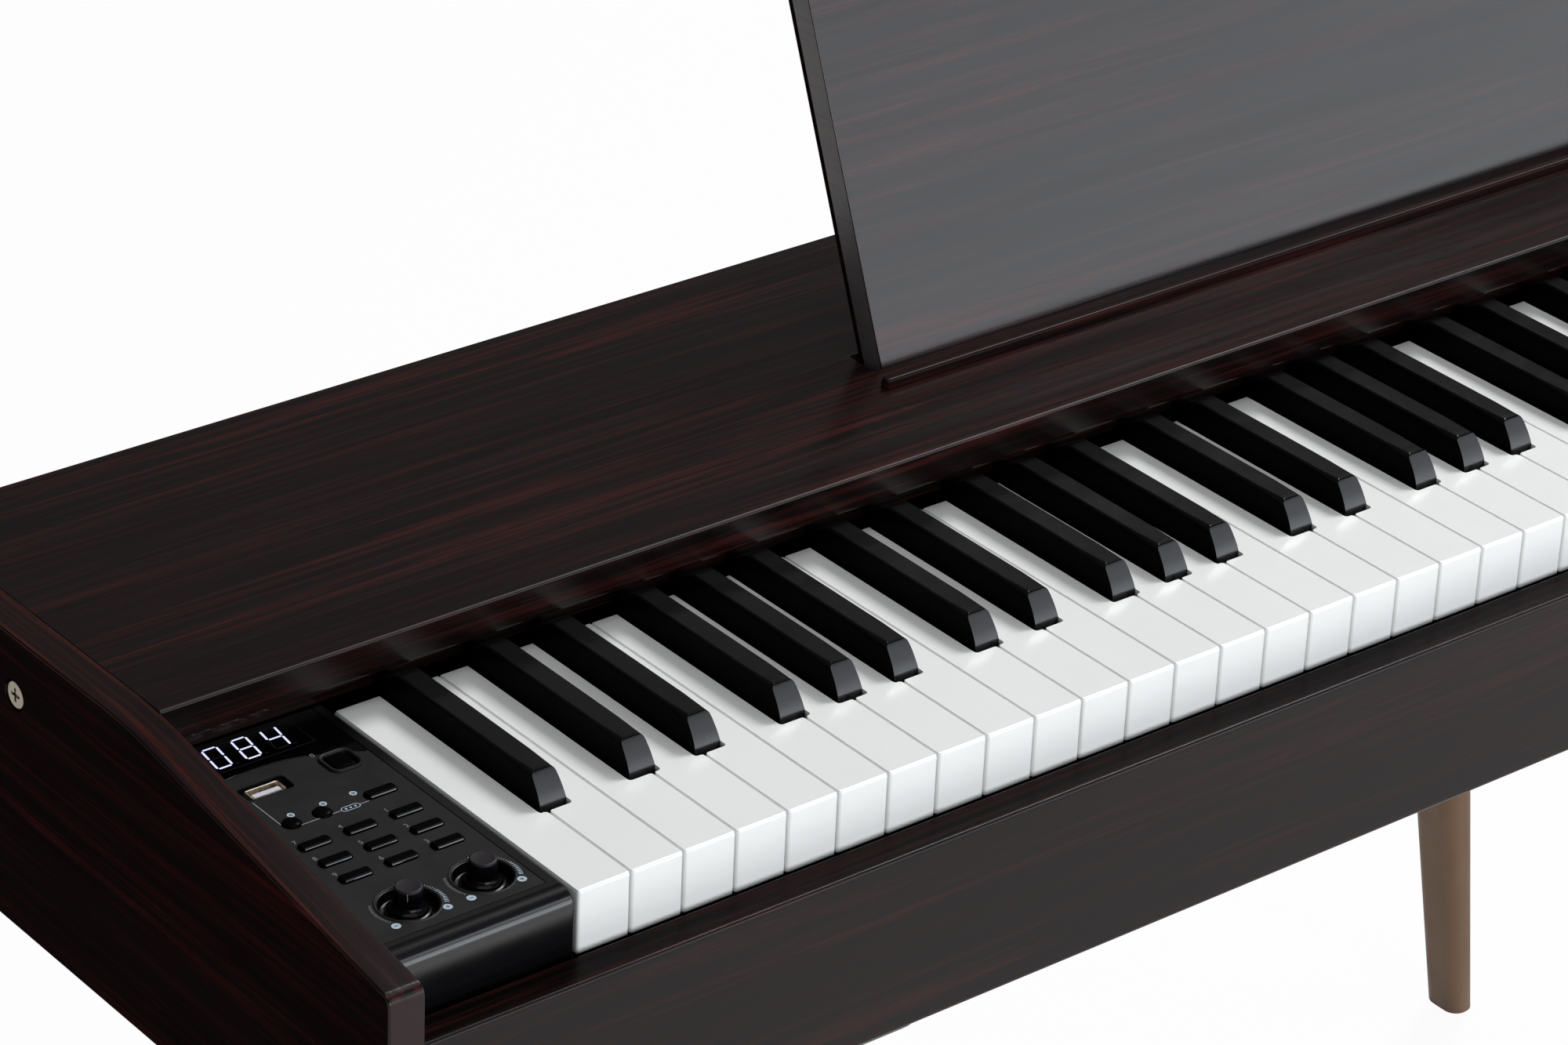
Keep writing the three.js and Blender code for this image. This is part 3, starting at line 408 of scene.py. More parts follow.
def metal(name, colour, roughness, axis=0):
    """Metal brushed along an axis, with worn patches."""
    look = Look(name, colour, roughness, metallic=1)
    lines = look.noise(tuple(30 if i == axis else 500 for i in range(3)), 3, 0.6)
    look.tones(look.spread(look.noise(60, 4, 0.6, 0.8), 0.35, 0.7), 1, 0.72)
    look.vary_roughness(lines, 0.75, 1.35)
    look.bump(lines, 0.15, 0.02)
    return look.material


def lacquer(name, colour, roughness):
    """Sprayed lacquer over wood: faint orange peel, and a faint grain below it."""
    look = Look(name, colour, roughness, ior=1.12)
    look.tones(look.spread(look.noise((60, 60, 5), 4, 0.6, 0.4), 0.3, 0.7), 0.9)
    look.vary_roughness(look.noise(30, 4), 0.9, 1.15)
    look.bump(look.noise(420, 2, 0.4), 0.2, 0.03)
    return look.material


def printed(name, colour):
    """Silk-screen ink: thin spots where the coat is uneven."""
    look = Look(name, colour, 0.55)
    look.tones(look.spread(look.noise(1600, 2, 0.5), 0.25, 0.5), 0.7)
    look.bump(look.noise(2500, 2), 0.2, 0.01)
    return look.material


def glowing(name, colour, strength):
    look = Look(name, colour, 0.3)
    glow = look.spread(look.noise(700, 2), 0.2, 0.8, strength * 0.92, strength * 1.04)
    look.colour(shade(look.base, 0.2))
    look.feed("Emission Color", look.base)
    look.feed("Emission Strength", glow)
    return look.material


def woven(name, colour):
    """Speaker cloth: two sets of threads over and under each other."""
    look = Look(name, colour, 0.85)
    waves = []
    for direction in ("X", "Y"):
        inputs = {"Vector": look.place, "Scale": 260, "Distortion": 0.4, "Detail": 1}
        wave = look.add("TexWave", inputs, wave_type="BANDS", bands_direction=direction)
        waves.append(wave.outputs["Fac"])
    threads = look.times(waves[0], waves[1])
    look.tones(threads, 0.35)
    look.bump(threads, 0.6, 0.2)
    return look.material


def fibre_board(name, colour):
    """Unfoiled board: short fibres in mixed browns."""
    look = Look(name, colour, 0.8)
    fibres = look.noise(380, 6, 0.75, 0.6)
    look.tones(look.spread(fibres, 0.35, 0.65), 0.6)
    look.bump(fibres, 0.4, 0.1)
    return look.material


def circuit(name, colour):
    look = Look(name, colour, 0.35)
    tracks = look.add("TexBrick", {
        "Vector": look.place, "Scale": 90, "Mortar Size": 0.08,
        "Color1": linear(22, 74, 46), "Color2": linear(24, 82, 52), "Mortar": linear(40, 120, 70),
    }).outputs["Color"]
    speck = look.spread(look.noise(600, 3), 0.4, 0.6)
    look.colour(look.mix(speck, tracks, look.base))
    look.bump(look.noise(900, 2), 0.2, 0.05)
    return look.material


FOIL_DARK, FOIL_STREAK = (19, 11, 12), (92, 38, 32)
foil_x = wood_foil("foil_along_x", (0,), FOIL_DARK, (78, 33, 28), 0.22, 0.2, shown=0.58)
foil_y = wood_foil("foil_along_y", (1,), (20, 12, 12), (84, 34, 30), 0.22, 0.22)
foil_top = wood_foil("foil_top", (1, 2), (24, 12, 12), (92, 36, 30), 0.2, 0.2)
foil_matt = wood_foil("foil_matt", (1,), (23, 14, 15), (90, 36, 32), 0.5, 0.5, 1.02, 0.5)
# Near-black foil for the rail's top: painted shade, far darker than the rail's own foil.
foil_painted_shade_x = wood_foil("foil_painted_shade_along_x", (0,), (4, 2, 2), FOIL_STREAK, 0.3, 0.5, 1.1, 0.35)
rail_foil = wood_foil("rail_foil", (0,), FOIL_DARK, FOIL_STREAK, 0.24, 0.2, 1.5, 0.3)
ledge_foil = wood_foil("ledge_foil", (0,), (20, 9, 9), (60, 22, 18), 0.35, 0.5, 1.15)
rest_foil = wood_foil("rest_foil", (0,), (21, 10, 15), (70, 30, 29), 0.22, 0.37)
# Pale grey foil for the music rest's end faces: painted light, far paler than the board's own foil.
rest_edge_painted_light = wood_foil("rest_edge_painted_light", (0, 1), (96, 92, 92), (108, 88, 84), 0.35, 0.4)
fascia_gloss = wood_foil("fascia_gloss", (0,), (13, 6, 6), (62, 26, 23), 0.24, 0.21)
# Plain brown edge band for the side boards' front faces. On the lid's front rounding the same paler
# plastic is a painted highlight line.
edge_band_and_painted_highlight = plastic("edge_band_and_painted_highlight", (47, 36, 36), 0.4, 700, 0.03, 0.06, ior=1.22)
white_key = plastic("white_key_plastic", (235, 236, 235), 0.22, 500, 0.01, 0.012)
black_key = plastic("black_key_plastic", (11, 11, 12), 0.2, 1400, 0.01, 0.05, specular=0.35)
# Near-black, dull copy of the black key plastic: painted shade on the black keys' sides and front
# ridge, and on the white keys' stems behind their caps.
black_painted_shade = plastic("black_painted_shade_plastic", (4, 4, 5), 0.3, 1400, 0.01, 0.1, ior=1.06)
# Paler, bluish, glossier copy of the black key plastic for the keys' steep front faces: a painted
# sheen along with their real reflection.
black_slope_painted_sheen = plastic("black_slope_painted_sheen_plastic", (25, 25, 28), 0.32, 1400, 0.01, 0.05)
housing = plastic("housing_plastic", (9, 9, 11), 0.18, 700, 0.006, specular=0.7)
housing_dull = plastic("housing_dull_plastic", (15, 15, 17), 0.3, 700, 0.006, ior=1.12)
plate = plastic("plate_plastic", (26, 26, 27), 0.42, 2200, 0.03, 0.05, specular=0.17)
window = plastic("window_plastic", (3, 3, 4), 0.06, 300, 0.004)
button_black = plastic("button_plastic", (5, 5, 6), 0.25, 900, 0.006, ior=1.07)
# Paler, glossier copy of the button plastic for the bar caps' front edges: a painted highlight line
# along with a real reflection.
button_edge_painted_highlight = plastic("button_edge_painted_highlight_plastic", (20, 20, 22), 0.1, 900, 0.006, ior=1.8)
knob_top = plastic("knob_top_plastic", (25, 20, 24), 0.45, 2600, 0.03, ior=1.3)
knob_gloss = plastic("knob_gloss_plastic", (5, 5, 7), 0.2, 900, 0.01, ior=1.22)
dish_black = plastic("dish_plastic", (6, 6, 8), 0.3, 900, 0.01, ior=1.18)
socket_black = plastic("socket_plastic", (20, 20, 22), 0.45)
tongue_pale = plastic("tongue_plastic", (214, 212, 222), 0.3, 900, 0.02, 0.04)
nickel = metal("nickel_steel", (150, 142, 126), 0.32)
pale_brass = metal("pale_brass", (240, 226, 204), 0.3, 2)
dark_steel = metal("dark_steel", (62, 63, 66), 0.45)
leg_lacquer = lacquer("leg_lacquer", (116, 91, 72), 0.42)
circuit_green = circuit("circuit_green", (16, 58, 38))
mark_pale = printed("mark_pale", (168, 184, 196))
mark_line = printed("mark_line", (128, 132, 136))
mark_dim = printed("mark_dim", (116, 119, 124))
mark_dark = printed("mark_dark", (30, 33, 38))
lit = glowing("lit_segment", (222, 226, 255), 1.05)
unlit = plastic("unlit_segment", (26, 25, 27), 0.3, 900, 0.01)
cone_paper = fibre_board("cone_paper", (34, 34, 36))
board_fibre = fibre_board("board_fibre", (58, 44, 40))
grille_cloth = woven("grille_cloth", (26, 26, 28))

# Sizes and places that come from the frame

def box(node):
    """A node's lowest and highest corners at rest, in millimetres."""
    return [[round(value / MM, 2) for value in corner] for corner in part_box(node)]


def middle_of(node):
    return [(low + high) / 2 for low, high in zip(*box(node))]


def board_outline(node, reaches, steps):
    """A board's box in Y and Z, with the distance at which each corner's rounding starts."""
    (_, front, bottom), (_, back, top) = box(node)
    corners = ((front, bottom), (back, bottom), (back, top), (front, top))
    return softened([(*corner, reach) for corner, reach in zip(corners, reaches)], steps)


def sideways(side, outline, inner, outer, inner_edge=0, outer_edge=0, steps=4):
    """A slab between two distances from the middle, on the left if side is -1."""
    if side < 0:
        return along_x(outline, -outer, -inner, outer_edge, inner_edge, steps)
    return along_x(outline, inner, outer, inner_edge, outer_edge, steps)


SIDES = ((-1, "left"), (1, "right"))
UP, FORWARDS, LEFT, RIGHT = (0, 0, 1), (0, -1, 0), (-1, 0, 0), (1, 0, 0)
FRONT_RIDGE = (0, -0.4, 0.917)
(INSIDE, CASE_FRONT, CASE_BOTTOM), (OUTSIDE, CASE_BACK, LID_TOP) = box("right_side_panel")
(_, KEYS_FRONT, KEY_BOTTOM), (_, KEYS_BACK, KEY_TOP) = box("white_keys_1")
(BLOCK_LEFT, _, _), (BLOCK_RIGHT, _, PANEL_TOP) = box("control_housing")


# Side boards, with a cam bolt sunk in each

LID_FRONT = box("lid")[0][1]
SIDE_FRONT_TOP = 650.4
BOLT_Y, BOLT_Z = middle_of("left_cam_bolt")[1:]
BOLT_RADIUS, BOLT_HOLE_RADIUS = 5.5, 6.6
BOLT_FLOOR = OUTSIDE - 2
BOLT_FACE = BOLT_FLOOR + 1.5
CROSS_DEPTH, CROSS_REACH, CROSS_HALF = 0.9, 3, 0.65
OVERRUN = 4

side_outline = softened([
    (CASE_FRONT, CASE_BOTTOM, 1.2),
    (CASE_BACK, CASE_BOTTOM, 1.2),
    (CASE_BACK, LID_TOP, 1.2),
    (LID_FRONT, LID_TOP, 16),
    (CASE_FRONT, SIDE_FRONT_TOP, 4.5),
], 10)
bolt_hole = circle(BOLT_Y, BOLT_Z, BOLT_HOLE_RADIUS, 40)
bolt_outline = circle(BOLT_Y, BOLT_Z, BOLT_RADIUS, 40)
for side, name in SIDES:
    piece(
        f"{name}_side_board", sideways(side, side_outline, INSIDE, OUTSIDE, 0.5, 1.1),
        foil_y, [f"{name}_side_panel"],
        carved=[[sideways(side, bolt_hole, BOLT_FLOOR, OUTSIDE + OVERRUN)]],
        faced=(
            ((0, -0.05, 1), foil_top, 0.94),
            ((side, 0, 0), foil_matt, 0.95),
            (FORWARDS, edge_band_and_painted_highlight, 0.95),
        ),
    )
    arms = [
        [sideways(side, outline, BOLT_FACE - CROSS_DEPTH, BOLT_FACE + OVERRUN)]
        for outline in cross(BOLT_Y, BOLT_Z, CROSS_REACH, CROSS_HALF, 0.3, 2)
    ]
    piece(
        f"{name}_bolt_head", sideways(side, bolt_outline, BOLT_FLOOR, BOLT_FACE, 0, 0.5, 3),
        nickel, [f"{name}_cam_bolt"], carved=arms, edge=0.12,
    )


# Lid, rail, fascia, bottom and back

REST_LEAN = radians(22)
REST_BACK = 77.005
REST_HALF = box("music_rest")[1][0]
REST_THICK, REST_CORNER = 15, 26
REST_LOW, REST_HIGH = -10, 179.38
GROOVE_END_GAP, GROOVE_GAP, GROOVE_DEPTH = 4, 0.5, 10.6

rest_place = frame_at(
    (0, REST_BACK, LID_TOP),
    (1, 0, 0),
    (0, sin(REST_LEAN), cos(REST_LEAN)),
    (0, -cos(REST_LEAN), sin(REST_LEAN)),
)
groove_end = REST_HALF + GROOVE_END_GAP
groove_outline = rounded(-groove_end, groove_end, -GROOVE_GAP, REST_THICK + GROOVE_GAP, 1.5, 3)
swap_y_z = Matrix(((1, 0, 0, 0), (0, 0, 1, 0), (0, 1, 0, 0), (0, 0, 0, 1)))
groove = placed(slab(groove_outline, -GROOVE_DEPTH, 30), rest_place @ swap_y_z)
piece(
    "lid_board",
    along_x(board_outline("lid", (2, 0.8, 0.8, 1.3), 8), -INSIDE, INSIDE, 0.3, 0.3, 2),
    foil_x, ["lid"], carved=[[groove]], edge=0.45,
    # The lid's front rounding takes the paler edge band plastic: a painted highlight line.
    faced=((FRONT_RIDGE, edge_band_and_painted_highlight, 0.94), (FORWARDS, fascia_gloss, 0.95)),
)
piece(
    "rail_board",
    along_x(board_outline("front_rail", (2, 0.8, 1.2, 2), 8), -INSIDE, INSIDE, 0.2, 0.2, 2),
    # The rail's top takes the near-black foil: painted shade.
    rail_foil, ["front_rail"], faced=((UP, foil_painted_shade_x, 0.95),),
)
piece(
    "fascia_strip",
    along_x(board_outline("fascia_board", (0.5, 0.5, 0.3, 0.3), 3), -INSIDE, INSIDE),
    fascia_gloss, ["fascia_board"],
)
bottom, back = node_mesh("bottom_board"), node_mesh("back_panel")
piece("bottom_sheet", bottom, board_fibre, ["bottom_board"], edge=0.6)
piece("back_sheet", back, foil_x, ["back_panel"], edge=0.5)
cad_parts["key_frame"].material_slots[0].material = dark_steel
for node in ("panel_circuit_board", "main_circuit_board"):
    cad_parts[node].material_slots[0].material = circuit_green


# Music rest and page ledge

REST_ROWS = ((0, 1.2), (0.4, 0.7), (1.2, 0.4), (4, 0), (14.5, 0), (14.85, 0.15), (REST_THICK, 0.5))
LEDGE_END, LEDGE_FRONT, LEDGE_BACK = 310.5, 44.8, 49.8
LEDGE_TOP = box("page_ledge")[1][2]

corner_x, corner_y = REST_HALF - REST_CORNER, REST_HIGH - REST_CORNER
rest_outline = (
    [(-REST_HALF, REST_LOW), (REST_HALF, REST_LOW)]
    + arc(corner_x, corner_y, REST_CORNER, 0, 90, 14)
    + arc(-corner_x, corner_y, REST_CORNER, 90, 180, 14)
)
rest_rings = [ring_at(rest_outline, z, amount) for z, amount in REST_ROWS]
piece(
    "rest_board", placed(loft(rest_rings), rest_place), rest_foil, ["music_rest"],
    body="music_rest",
    faced=(
        (LEFT, foil_matt, 0.8), (RIGHT, foil_matt, 0.8),
        # The end faces themselves take the pale grey foil: painted light.
        (LEFT, rest_edge_painted_light, 0.999), (RIGHT, rest_edge_painted_light, 0.999),
    ),
)
piece(
    "ledge_strip",
    slab(rounded(-LEDGE_END, LEDGE_END, LEDGE_FRONT, LEDGE_BACK, 2.4), LID_TOP, LEDGE_TOP, 0, 1.3),
    ledge_foil, ["page_ledge"],
)


# Legs with their plates, and screws

LEG_TOP = box("front_left_leg_plate")[0][2]
TOP_SECTION, FOOT_SECTION = (13, 20, 9.5), (9, 12.5, 8.4)
SPLAY_Y = 156
SPLAYS_X = {"front_left": 163, "front_right": 163, "rear_left": 247, "rear_right": 247}
PLATE_HALF, PLATE_SCREW = 40, 31
RIM_SCREWS_X, RIM_SCREWS_Y = (-640, -330, 0, 330, 640), (-149, 166)
BACK_SCREWS_X, BACK_SCREWS_Z = (-670, -335, 0, 335, 670), (574, 655)


def leg(top_x, top_y, splay_x):
    """Its sections have a half width, a half depth and a corner radius."""
    rings = []
    rows = [(0, 1.6), (0.45, 0.75), (1.6, 0)] + [(LEG_TOP * i / 12, 0) for i in range(1, 13)]
    for z, amount in rows:
        drop = 1 - z / LEG_TOP
        x = top_x + copysign(splay_x, top_x) * drop
        y = top_y + copysign(SPLAY_Y, top_y) * drop
        sizes = [a + (b - a) * drop for a, b in zip(TOP_SECTION, FOOT_SECTION)]
        rings.append(ring_at(around(x, y, *sizes, 10), z, amount))
    return loft(rings)


def screw_shape():
    """A pan head screw's head, with a cross slot, standing on the plane Z = 0."""
    profile = [(3.4, 0), (3.4, 0.35), (3.1, 0.95), (2.4, 1.45), (1.2, 1.7), (0.3, 1.75)]
    head = link("screw", mesh_of("screw", turned(profile, 0, 0, 28)))
    for arm in cross(0, 0, 1.7, 0.3, 0.15, 1):
        carve(head, slab(arm, 0.7, 3))
    shape = shape_of(head.data)
    bpy.data.objects.remove(head)
    return shape


screw = screw_shape()
down = frame_at((0, 0, 0), (1, 0, 0), (0, -1, 0), (0, 0, -1))
backwards = frame_at((0, 0, 0), (1, 0, 0), (0, 0, -1), (0, 1, 0))


def screws_at(places, turn):
    return joined(*[placed(screw, Matrix.Translation(place) @ turn) for place in places])


for place, splay_x in SPLAYS_X.items():
    x, y, _ = middle_of(f"{place}_leg_plate")
    shaft = leg(x, y, splay_x)
    piece(f"{place}_leg_shaft", shaft, leg_lacquer, [f"{place}_leg"])
    piece(
        f"{place}_plate_steel",
        slab(around(x, y, PLATE_HALF, PLATE_HALF, 10, 8), LEG_TOP, CASE_BOTTOM, 2.9, 0, 5),
        dark_steel, [f"{place}_leg_plate"],
    )
    reaches = (-PLATE_SCREW, PLATE_SCREW)
    corners = [(x + u, y + v, LEG_TOP) for u in reaches for v in reaches]
    piece(f"{place}_plate_screws", screws_at(corners, down), nickel)

places = [(x, y, CASE_BOTTOM) for y in RIM_SCREWS_Y for x in RIM_SCREWS_X]
piece("bottom_screws", screws_at(places, down), nickel)
places = [(x, CASE_BACK, z) for x in BACK_SCREWS_X for z in BACK_SCREWS_Z]
piece("back_screws", screws_at(places, backwards), nickel)


# Keys

WHITE_COUNT = 52
KEYS_LEFT = box("key_frame")[0][0]
PITCH = -2 * KEYS_LEFT / WHITE_COUNT
GAP = 0.6
WHITE_END = -2
NOTCH_Y = KEYS_FRONT + 50
BLACK_ROOM = 6.9
BLACK_SHIFTS = {0: -0.14, 1: 0.14, 3: -0.17, 4: 0, 5: 0.16}
BLACK_HALF, BLACK_LEAN, CAP_BOTTOM = 5.9, 0.8, 646
BLACK_BOTTOM, BLACK_TOP = [corner[2] for corner in box("black_keys_1")]
SHOULDER, TURN_STEPS, SHOULDER_BACK, SHOULDER_RUN = 1.15, 6, -78, 15

# Stems under the caps and bars at the hinge: front, back, bottom and top
STEM_TOP, BLACK_STEM_HALF = 646.5, 5.3
WHITE_STEM, WHITE_BAR = (WHITE_END - 0.2, 36, KEY_BOTTOM + 0.5, STEM_TOP), (34, KEYS_BACK, 638, 647)
BLACK_STEM, BLACK_BAR = (-99, 44, 630, STEM_TOP), (40, KEYS_BACK, BLACK_BOTTOM, 634)

# A black cap's top line, as places along Y and depths below its top: a steep face, the flat
# top and the rear
BLACK_LINE = (
    (-101.2, 11.1), (-101.05, 10.4), (-100.8, 9.7), (-100, 8.1), (-99, 6.4), (-97.75, 4.55),
    (-96.4, 2.8), (-95.2, 1.4), (-94.75, 0.89), (-94.3, 0.43), (-93.8, 0.11), (-93.2, 0),
    (-91, 0), (-86, 0), (-80, 0), (-50, 0), (-10, 0), (-2.5, 4.4), (-2, 6),
)


def black_after(white):
    """The middle of the black key between this white key and the next, or None."""
    shift = BLACK_SHIFTS.get((white + 5) % 7)
    if shift is None or not 0 <= white < WHITE_COUNT - 1:
        return None
    return KEYS_LEFT + (white + 1 + shift) * PITCH


def octave_of(white):
    return 1 if white < 9 else min(7, (white - 2) // 7 + 1)


def white_key_sides(white):
    """A white key's left and right side in front, and beside its black neighbours."""
    x0 = KEYS_LEFT + white * PITCH + GAP / 2
    x1 = x0 + PITCH - GAP
    left, right = black_after(white - 1), black_after(white)
    return x0, x1, (left + BLACK_ROOM) if left else x0, (right - BLACK_ROOM) if right else x1


def white_key_shape(white):
    x0, x1, rear_x0, rear_x1 = white_key_sides(white)
    corners = [(x0, KEYS_FRONT, 1.5), (x1, KEYS_FRONT, 1.5)]
    if rear_x1 < x1:
        corners += [(x1, NOTCH_Y, 1.6), (rear_x1, NOTCH_Y, 1.3)]
    corners += [(rear_x1, WHITE_END, 0), (rear_x0, WHITE_END, 0)]
    if rear_x0 > x0:
        corners += [(rear_x0, NOTCH_Y, 1.3), (x0, NOTCH_Y, 1.6)]
    outline = softened(corners, 5)
    rings = []
    for z, amount in levels(KEY_BOTTOM, KEY_TOP, 0.3, 1.3, 5):
        ring = inset(outline, min(amount, 0.35))
        rings.append([(x, max(y, KEYS_FRONT + amount), z) for x, y in ring])
    return loft(rings)


def key_bar(x0, x1, sizes, radius=1, steps=1):
    front, back, bottom, top = sizes
    return slab(rounded(x0, x1, front, back, radius, steps), bottom, top)


def white_stem_shape(white):
    """The near-black part of a white key, from its cap back to the hinge bar: painted shade on the
    strip behind the cap, under the fascia.
    """
    x0, x1, rear_x0, rear_x1 = white_key_sides(white)
    return joined(key_bar(rear_x0, rear_x1, WHITE_STEM, 0.1), key_bar(x0, x1, WHITE_BAR))


def black_half(z):
    """Half a black cap's width at a height, since its sides lean inwards."""
    return BLACK_HALF - BLACK_LEAN * (z - KEY_TOP) / (BLACK_TOP - KEY_TOP)


def black_key_section(x, y, top):
    """One upright cut across a black cap: sloping sides, and round shoulders if it is high."""
    shoulder = SHOULDER + SHOULDER * min(1, max(0, (SHOULDER_BACK - y) / SHOULDER_RUN))
    low = BLACK_TOP - shoulder
    reach = asin(min(1, max(0, (top - low) / shoulder)))
    right = []
    for k in range(TURN_STEPS + 1):
        if top > low + 0.05:
            a = reach * k / TURN_STEPS
            inward = shoulder * (1 - cos(a))
            right.append((black_half(low) - inward, low + shoulder * sin(a)))
        else:
            z = top - 0.06 * (TURN_STEPS - k)
            right.append((black_half(z), z))
    ring = [(-BLACK_HALF, CAP_BOTTOM), (BLACK_HALF, CAP_BOTTOM)]
    ring += right + [(-u, z) for u, z in reversed(right)]
    return [(x + u, y, z) for u, z in ring]


def black_key_shape(x):
    """A cap with a steep front face, lofted from front to back, on its stem and bar."""
    x0, x1 = x - BLACK_STEM_HALF, x + BLACK_STEM_HALF
    cap = loft([black_key_section(x, y, BLACK_TOP - depth) for y, depth in BLACK_LINE])
    return joined(cap, key_bar(x0, x1, BLACK_STEM, 1, 2), key_bar(x0, x1, BLACK_BAR))


# The white keys' stems are near black: painted shade for the strip between the caps and the fascia.
for octave in range(1, 8):
    stems = [white_stem_shape(k) for k in range(WHITE_COUNT) if octave_of(k) == octave]
    piece(
        f"white_key_stems_{octave}", joined(*stems), black_painted_shade,
        body=f"white_keys_{octave}",
    )
for white in range(WHITE_COUNT):
    body = f"white_keys_{octave_of(white)}"
    piece(
        f"white_key_{white + 1:02d}", white_key_shape(white), white_key,
        [body], body=body,
    )
whites_before_blacks = [k for k in range(WHITE_COUNT) if black_after(k) is not None]
for number, white in enumerate(whites_before_blacks, 1):
    body = f"black_keys_{octave_of(white)}"
    shape = black_key_shape(black_after(white))
    piece(
        f"black_key_{number:02d}", shape, black_key, [body], body=body,
        faced=(
            # The steep front faces take the paler copy: a painted sheen.
            ((0, -0.83, 0.56), black_slope_painted_sheen, 0.95),
            # Sides and front ridge take the near-black copy: painted shade.
            (FRONT_RIDGE, black_painted_shade, 0.93),
            (LEFT, black_painted_shade, 0.95), (RIGHT, black_painted_shade, 0.95),
        ),
    )


# End blocks, with the control panel on the left one

BARS = (
    "menu", "layer", "split", "song", "style", "tone", "response", "transpose", "start", "play",
)
ROUNDS = ("next", "previous")
BUTTON_AT = {name: middle_of(f"{name}_button")[:2] for name in BARS + ROUNDS}
KNOB_AT = {name: middle_of(f"{name}_knob")[:2] for name in ("select", "volume")}
POWER, USB = middle_of("power_button")[:2], middle_of("usb_socket")[:2]
(PLATE_LEFT, _, PLATE_Z), (PLATE_RIGHT, WINDOW_BACK, _) = box("display_window")
PLATE_FRONT = box("panel_plate")[0][1]
ARCH = ((PLATE_LEFT, -26.5), (-659, -20.5), (PLATE_RIGHT, -33.5))
HOLE_BOTTOM, HOLE_TOP = 640, 656
BAR_HOLE, BAR_CAP, BAR_CAP_EDGE = (6.8, 2.8, 2.3), (6.5, 2.5, 1.5), 1
ROUND_HOLE, DISH_HOLE, RING_HOLE, SHAFT_HOLE = 3.9, 11, 11.3, 3.3
DISH_FLOOR, USB_FLOOR, USB_BOTTOM = 646.5, 647.4, 638
RECESS_GAP, CUT_OVERLAP = 0.4, 0.1
DULL_FRONT = ((0, -0.3, 0.954), housing_dull, 0.955)


def curve(a, b, c, steps=14):
    """Points of a curve from a to c that is drawn towards b."""
    return [
        tuple(p * (1 - t) ** 2 + 2 * q * t * (1 - t) + r * t * t for p, q, r in zip(a, b, c))
        for t in [k / steps for k in range(steps + 1)]
    ]


def arch(shift):
    """The line between plate and window, from its left end to its right end."""
    left, peak, right = [(x, y + shift) for x, y in ARCH]
    rise = curve(left, ((left[0] + peak[0]) / 2, peak[1]), peak)
    return rise + curve(peak, ((peak[0] + right[0]) / 2, peak[1]), right)[1:]


def end_block(side):
    outline = board_outline("control_housing", (0, 0, 0, 8), 14)
    return sideways(side, outline, -BLOCK_RIGHT, -BLOCK_LEFT, 1.2, 0.4, 5)


def hole(outline, bottom=HOLE_BOTTOM, top=HOLE_TOP):
    return slab(outline, bottom, top)


plate_outline = [(PLATE_LEFT, PLATE_FRONT), (PLATE_RIGHT, PLATE_FRONT)] + arch(0)[::-1]
window_outline = arch(0.4) + [(PLATE_RIGHT, WINDOW_BACK), (PLATE_LEFT, WINDOW_BACK)]
recess_outline = rounded(
    PLATE_LEFT - RECESS_GAP, PLATE_RIGHT + RECESS_GAP,
    PLATE_FRONT - RECESS_GAP, WINDOW_BACK + RECESS_GAP, RECESS_GAP, 2,
)
button_holes = [hole(around(*BUTTON_AT[name], *BAR_HOLE)) for name in BARS]
button_holes += [hole(circle(*BUTTON_AT[name], ROUND_HOLE)) for name in ROUNDS]
dishes = [hole(circle(*place, DISH_HOLE, 72), DISH_FLOOR) for place in KNOB_AT.values()]
shaft_holes = [
    hole(circle(*place, SHAFT_HOLE, 24), top=DISH_FLOOR + CUT_OVERLAP)
    for place in KNOB_AT.values()
]
usb_seat = hole(around(*USB, 9.9, 4.9, 1.9), USB_FLOOR)
usb_hole = hole(around(*USB, 7.35, 3.6, 0.9), USB_BOTTOM, USB_FLOOR + CUT_OVERLAP)
piece(
    "control_block", end_block(-1), housing, ["control_housing"],
    carved=[
        [hole(recess_outline, PLATE_Z)],
        button_holes + dishes + [hole(around(*POWER, 5.5, 5.5, 2.5)), usb_seat],
        [usb_hole] + shaft_holes,
    ],
    faced=(DULL_FRONT,),
)
piece(
    "right_block", end_block(1), housing, ["right_end_block"],
    faced=(DULL_FRONT,),
)
plate_holes = button_holes + [
    hole(circle(*place, RING_HOLE, 72)) for place in KNOB_AT.values()
]
plate_holes += [hole(around(*POWER, 6.4, 6.4, 3.3, 8)), hole(around(*USB, 10, 5, 2))]
piece(
    "panel_sheet", slab(plate_outline, PLATE_Z, PANEL_TOP), plate,
    ["panel_plate"], carved=[plate_holes], edge=0.14,
)
piece(
    "window_glass", slab(window_outline, PLATE_Z, PANEL_TOP), window,
    ["display_window"], carved=[[hole(around(*POWER, 7.5, 7.5, 4.5, 8))]], edge=0.14,
)


# Round pieces on the panel: distances from the middle, and heights from the panel's top

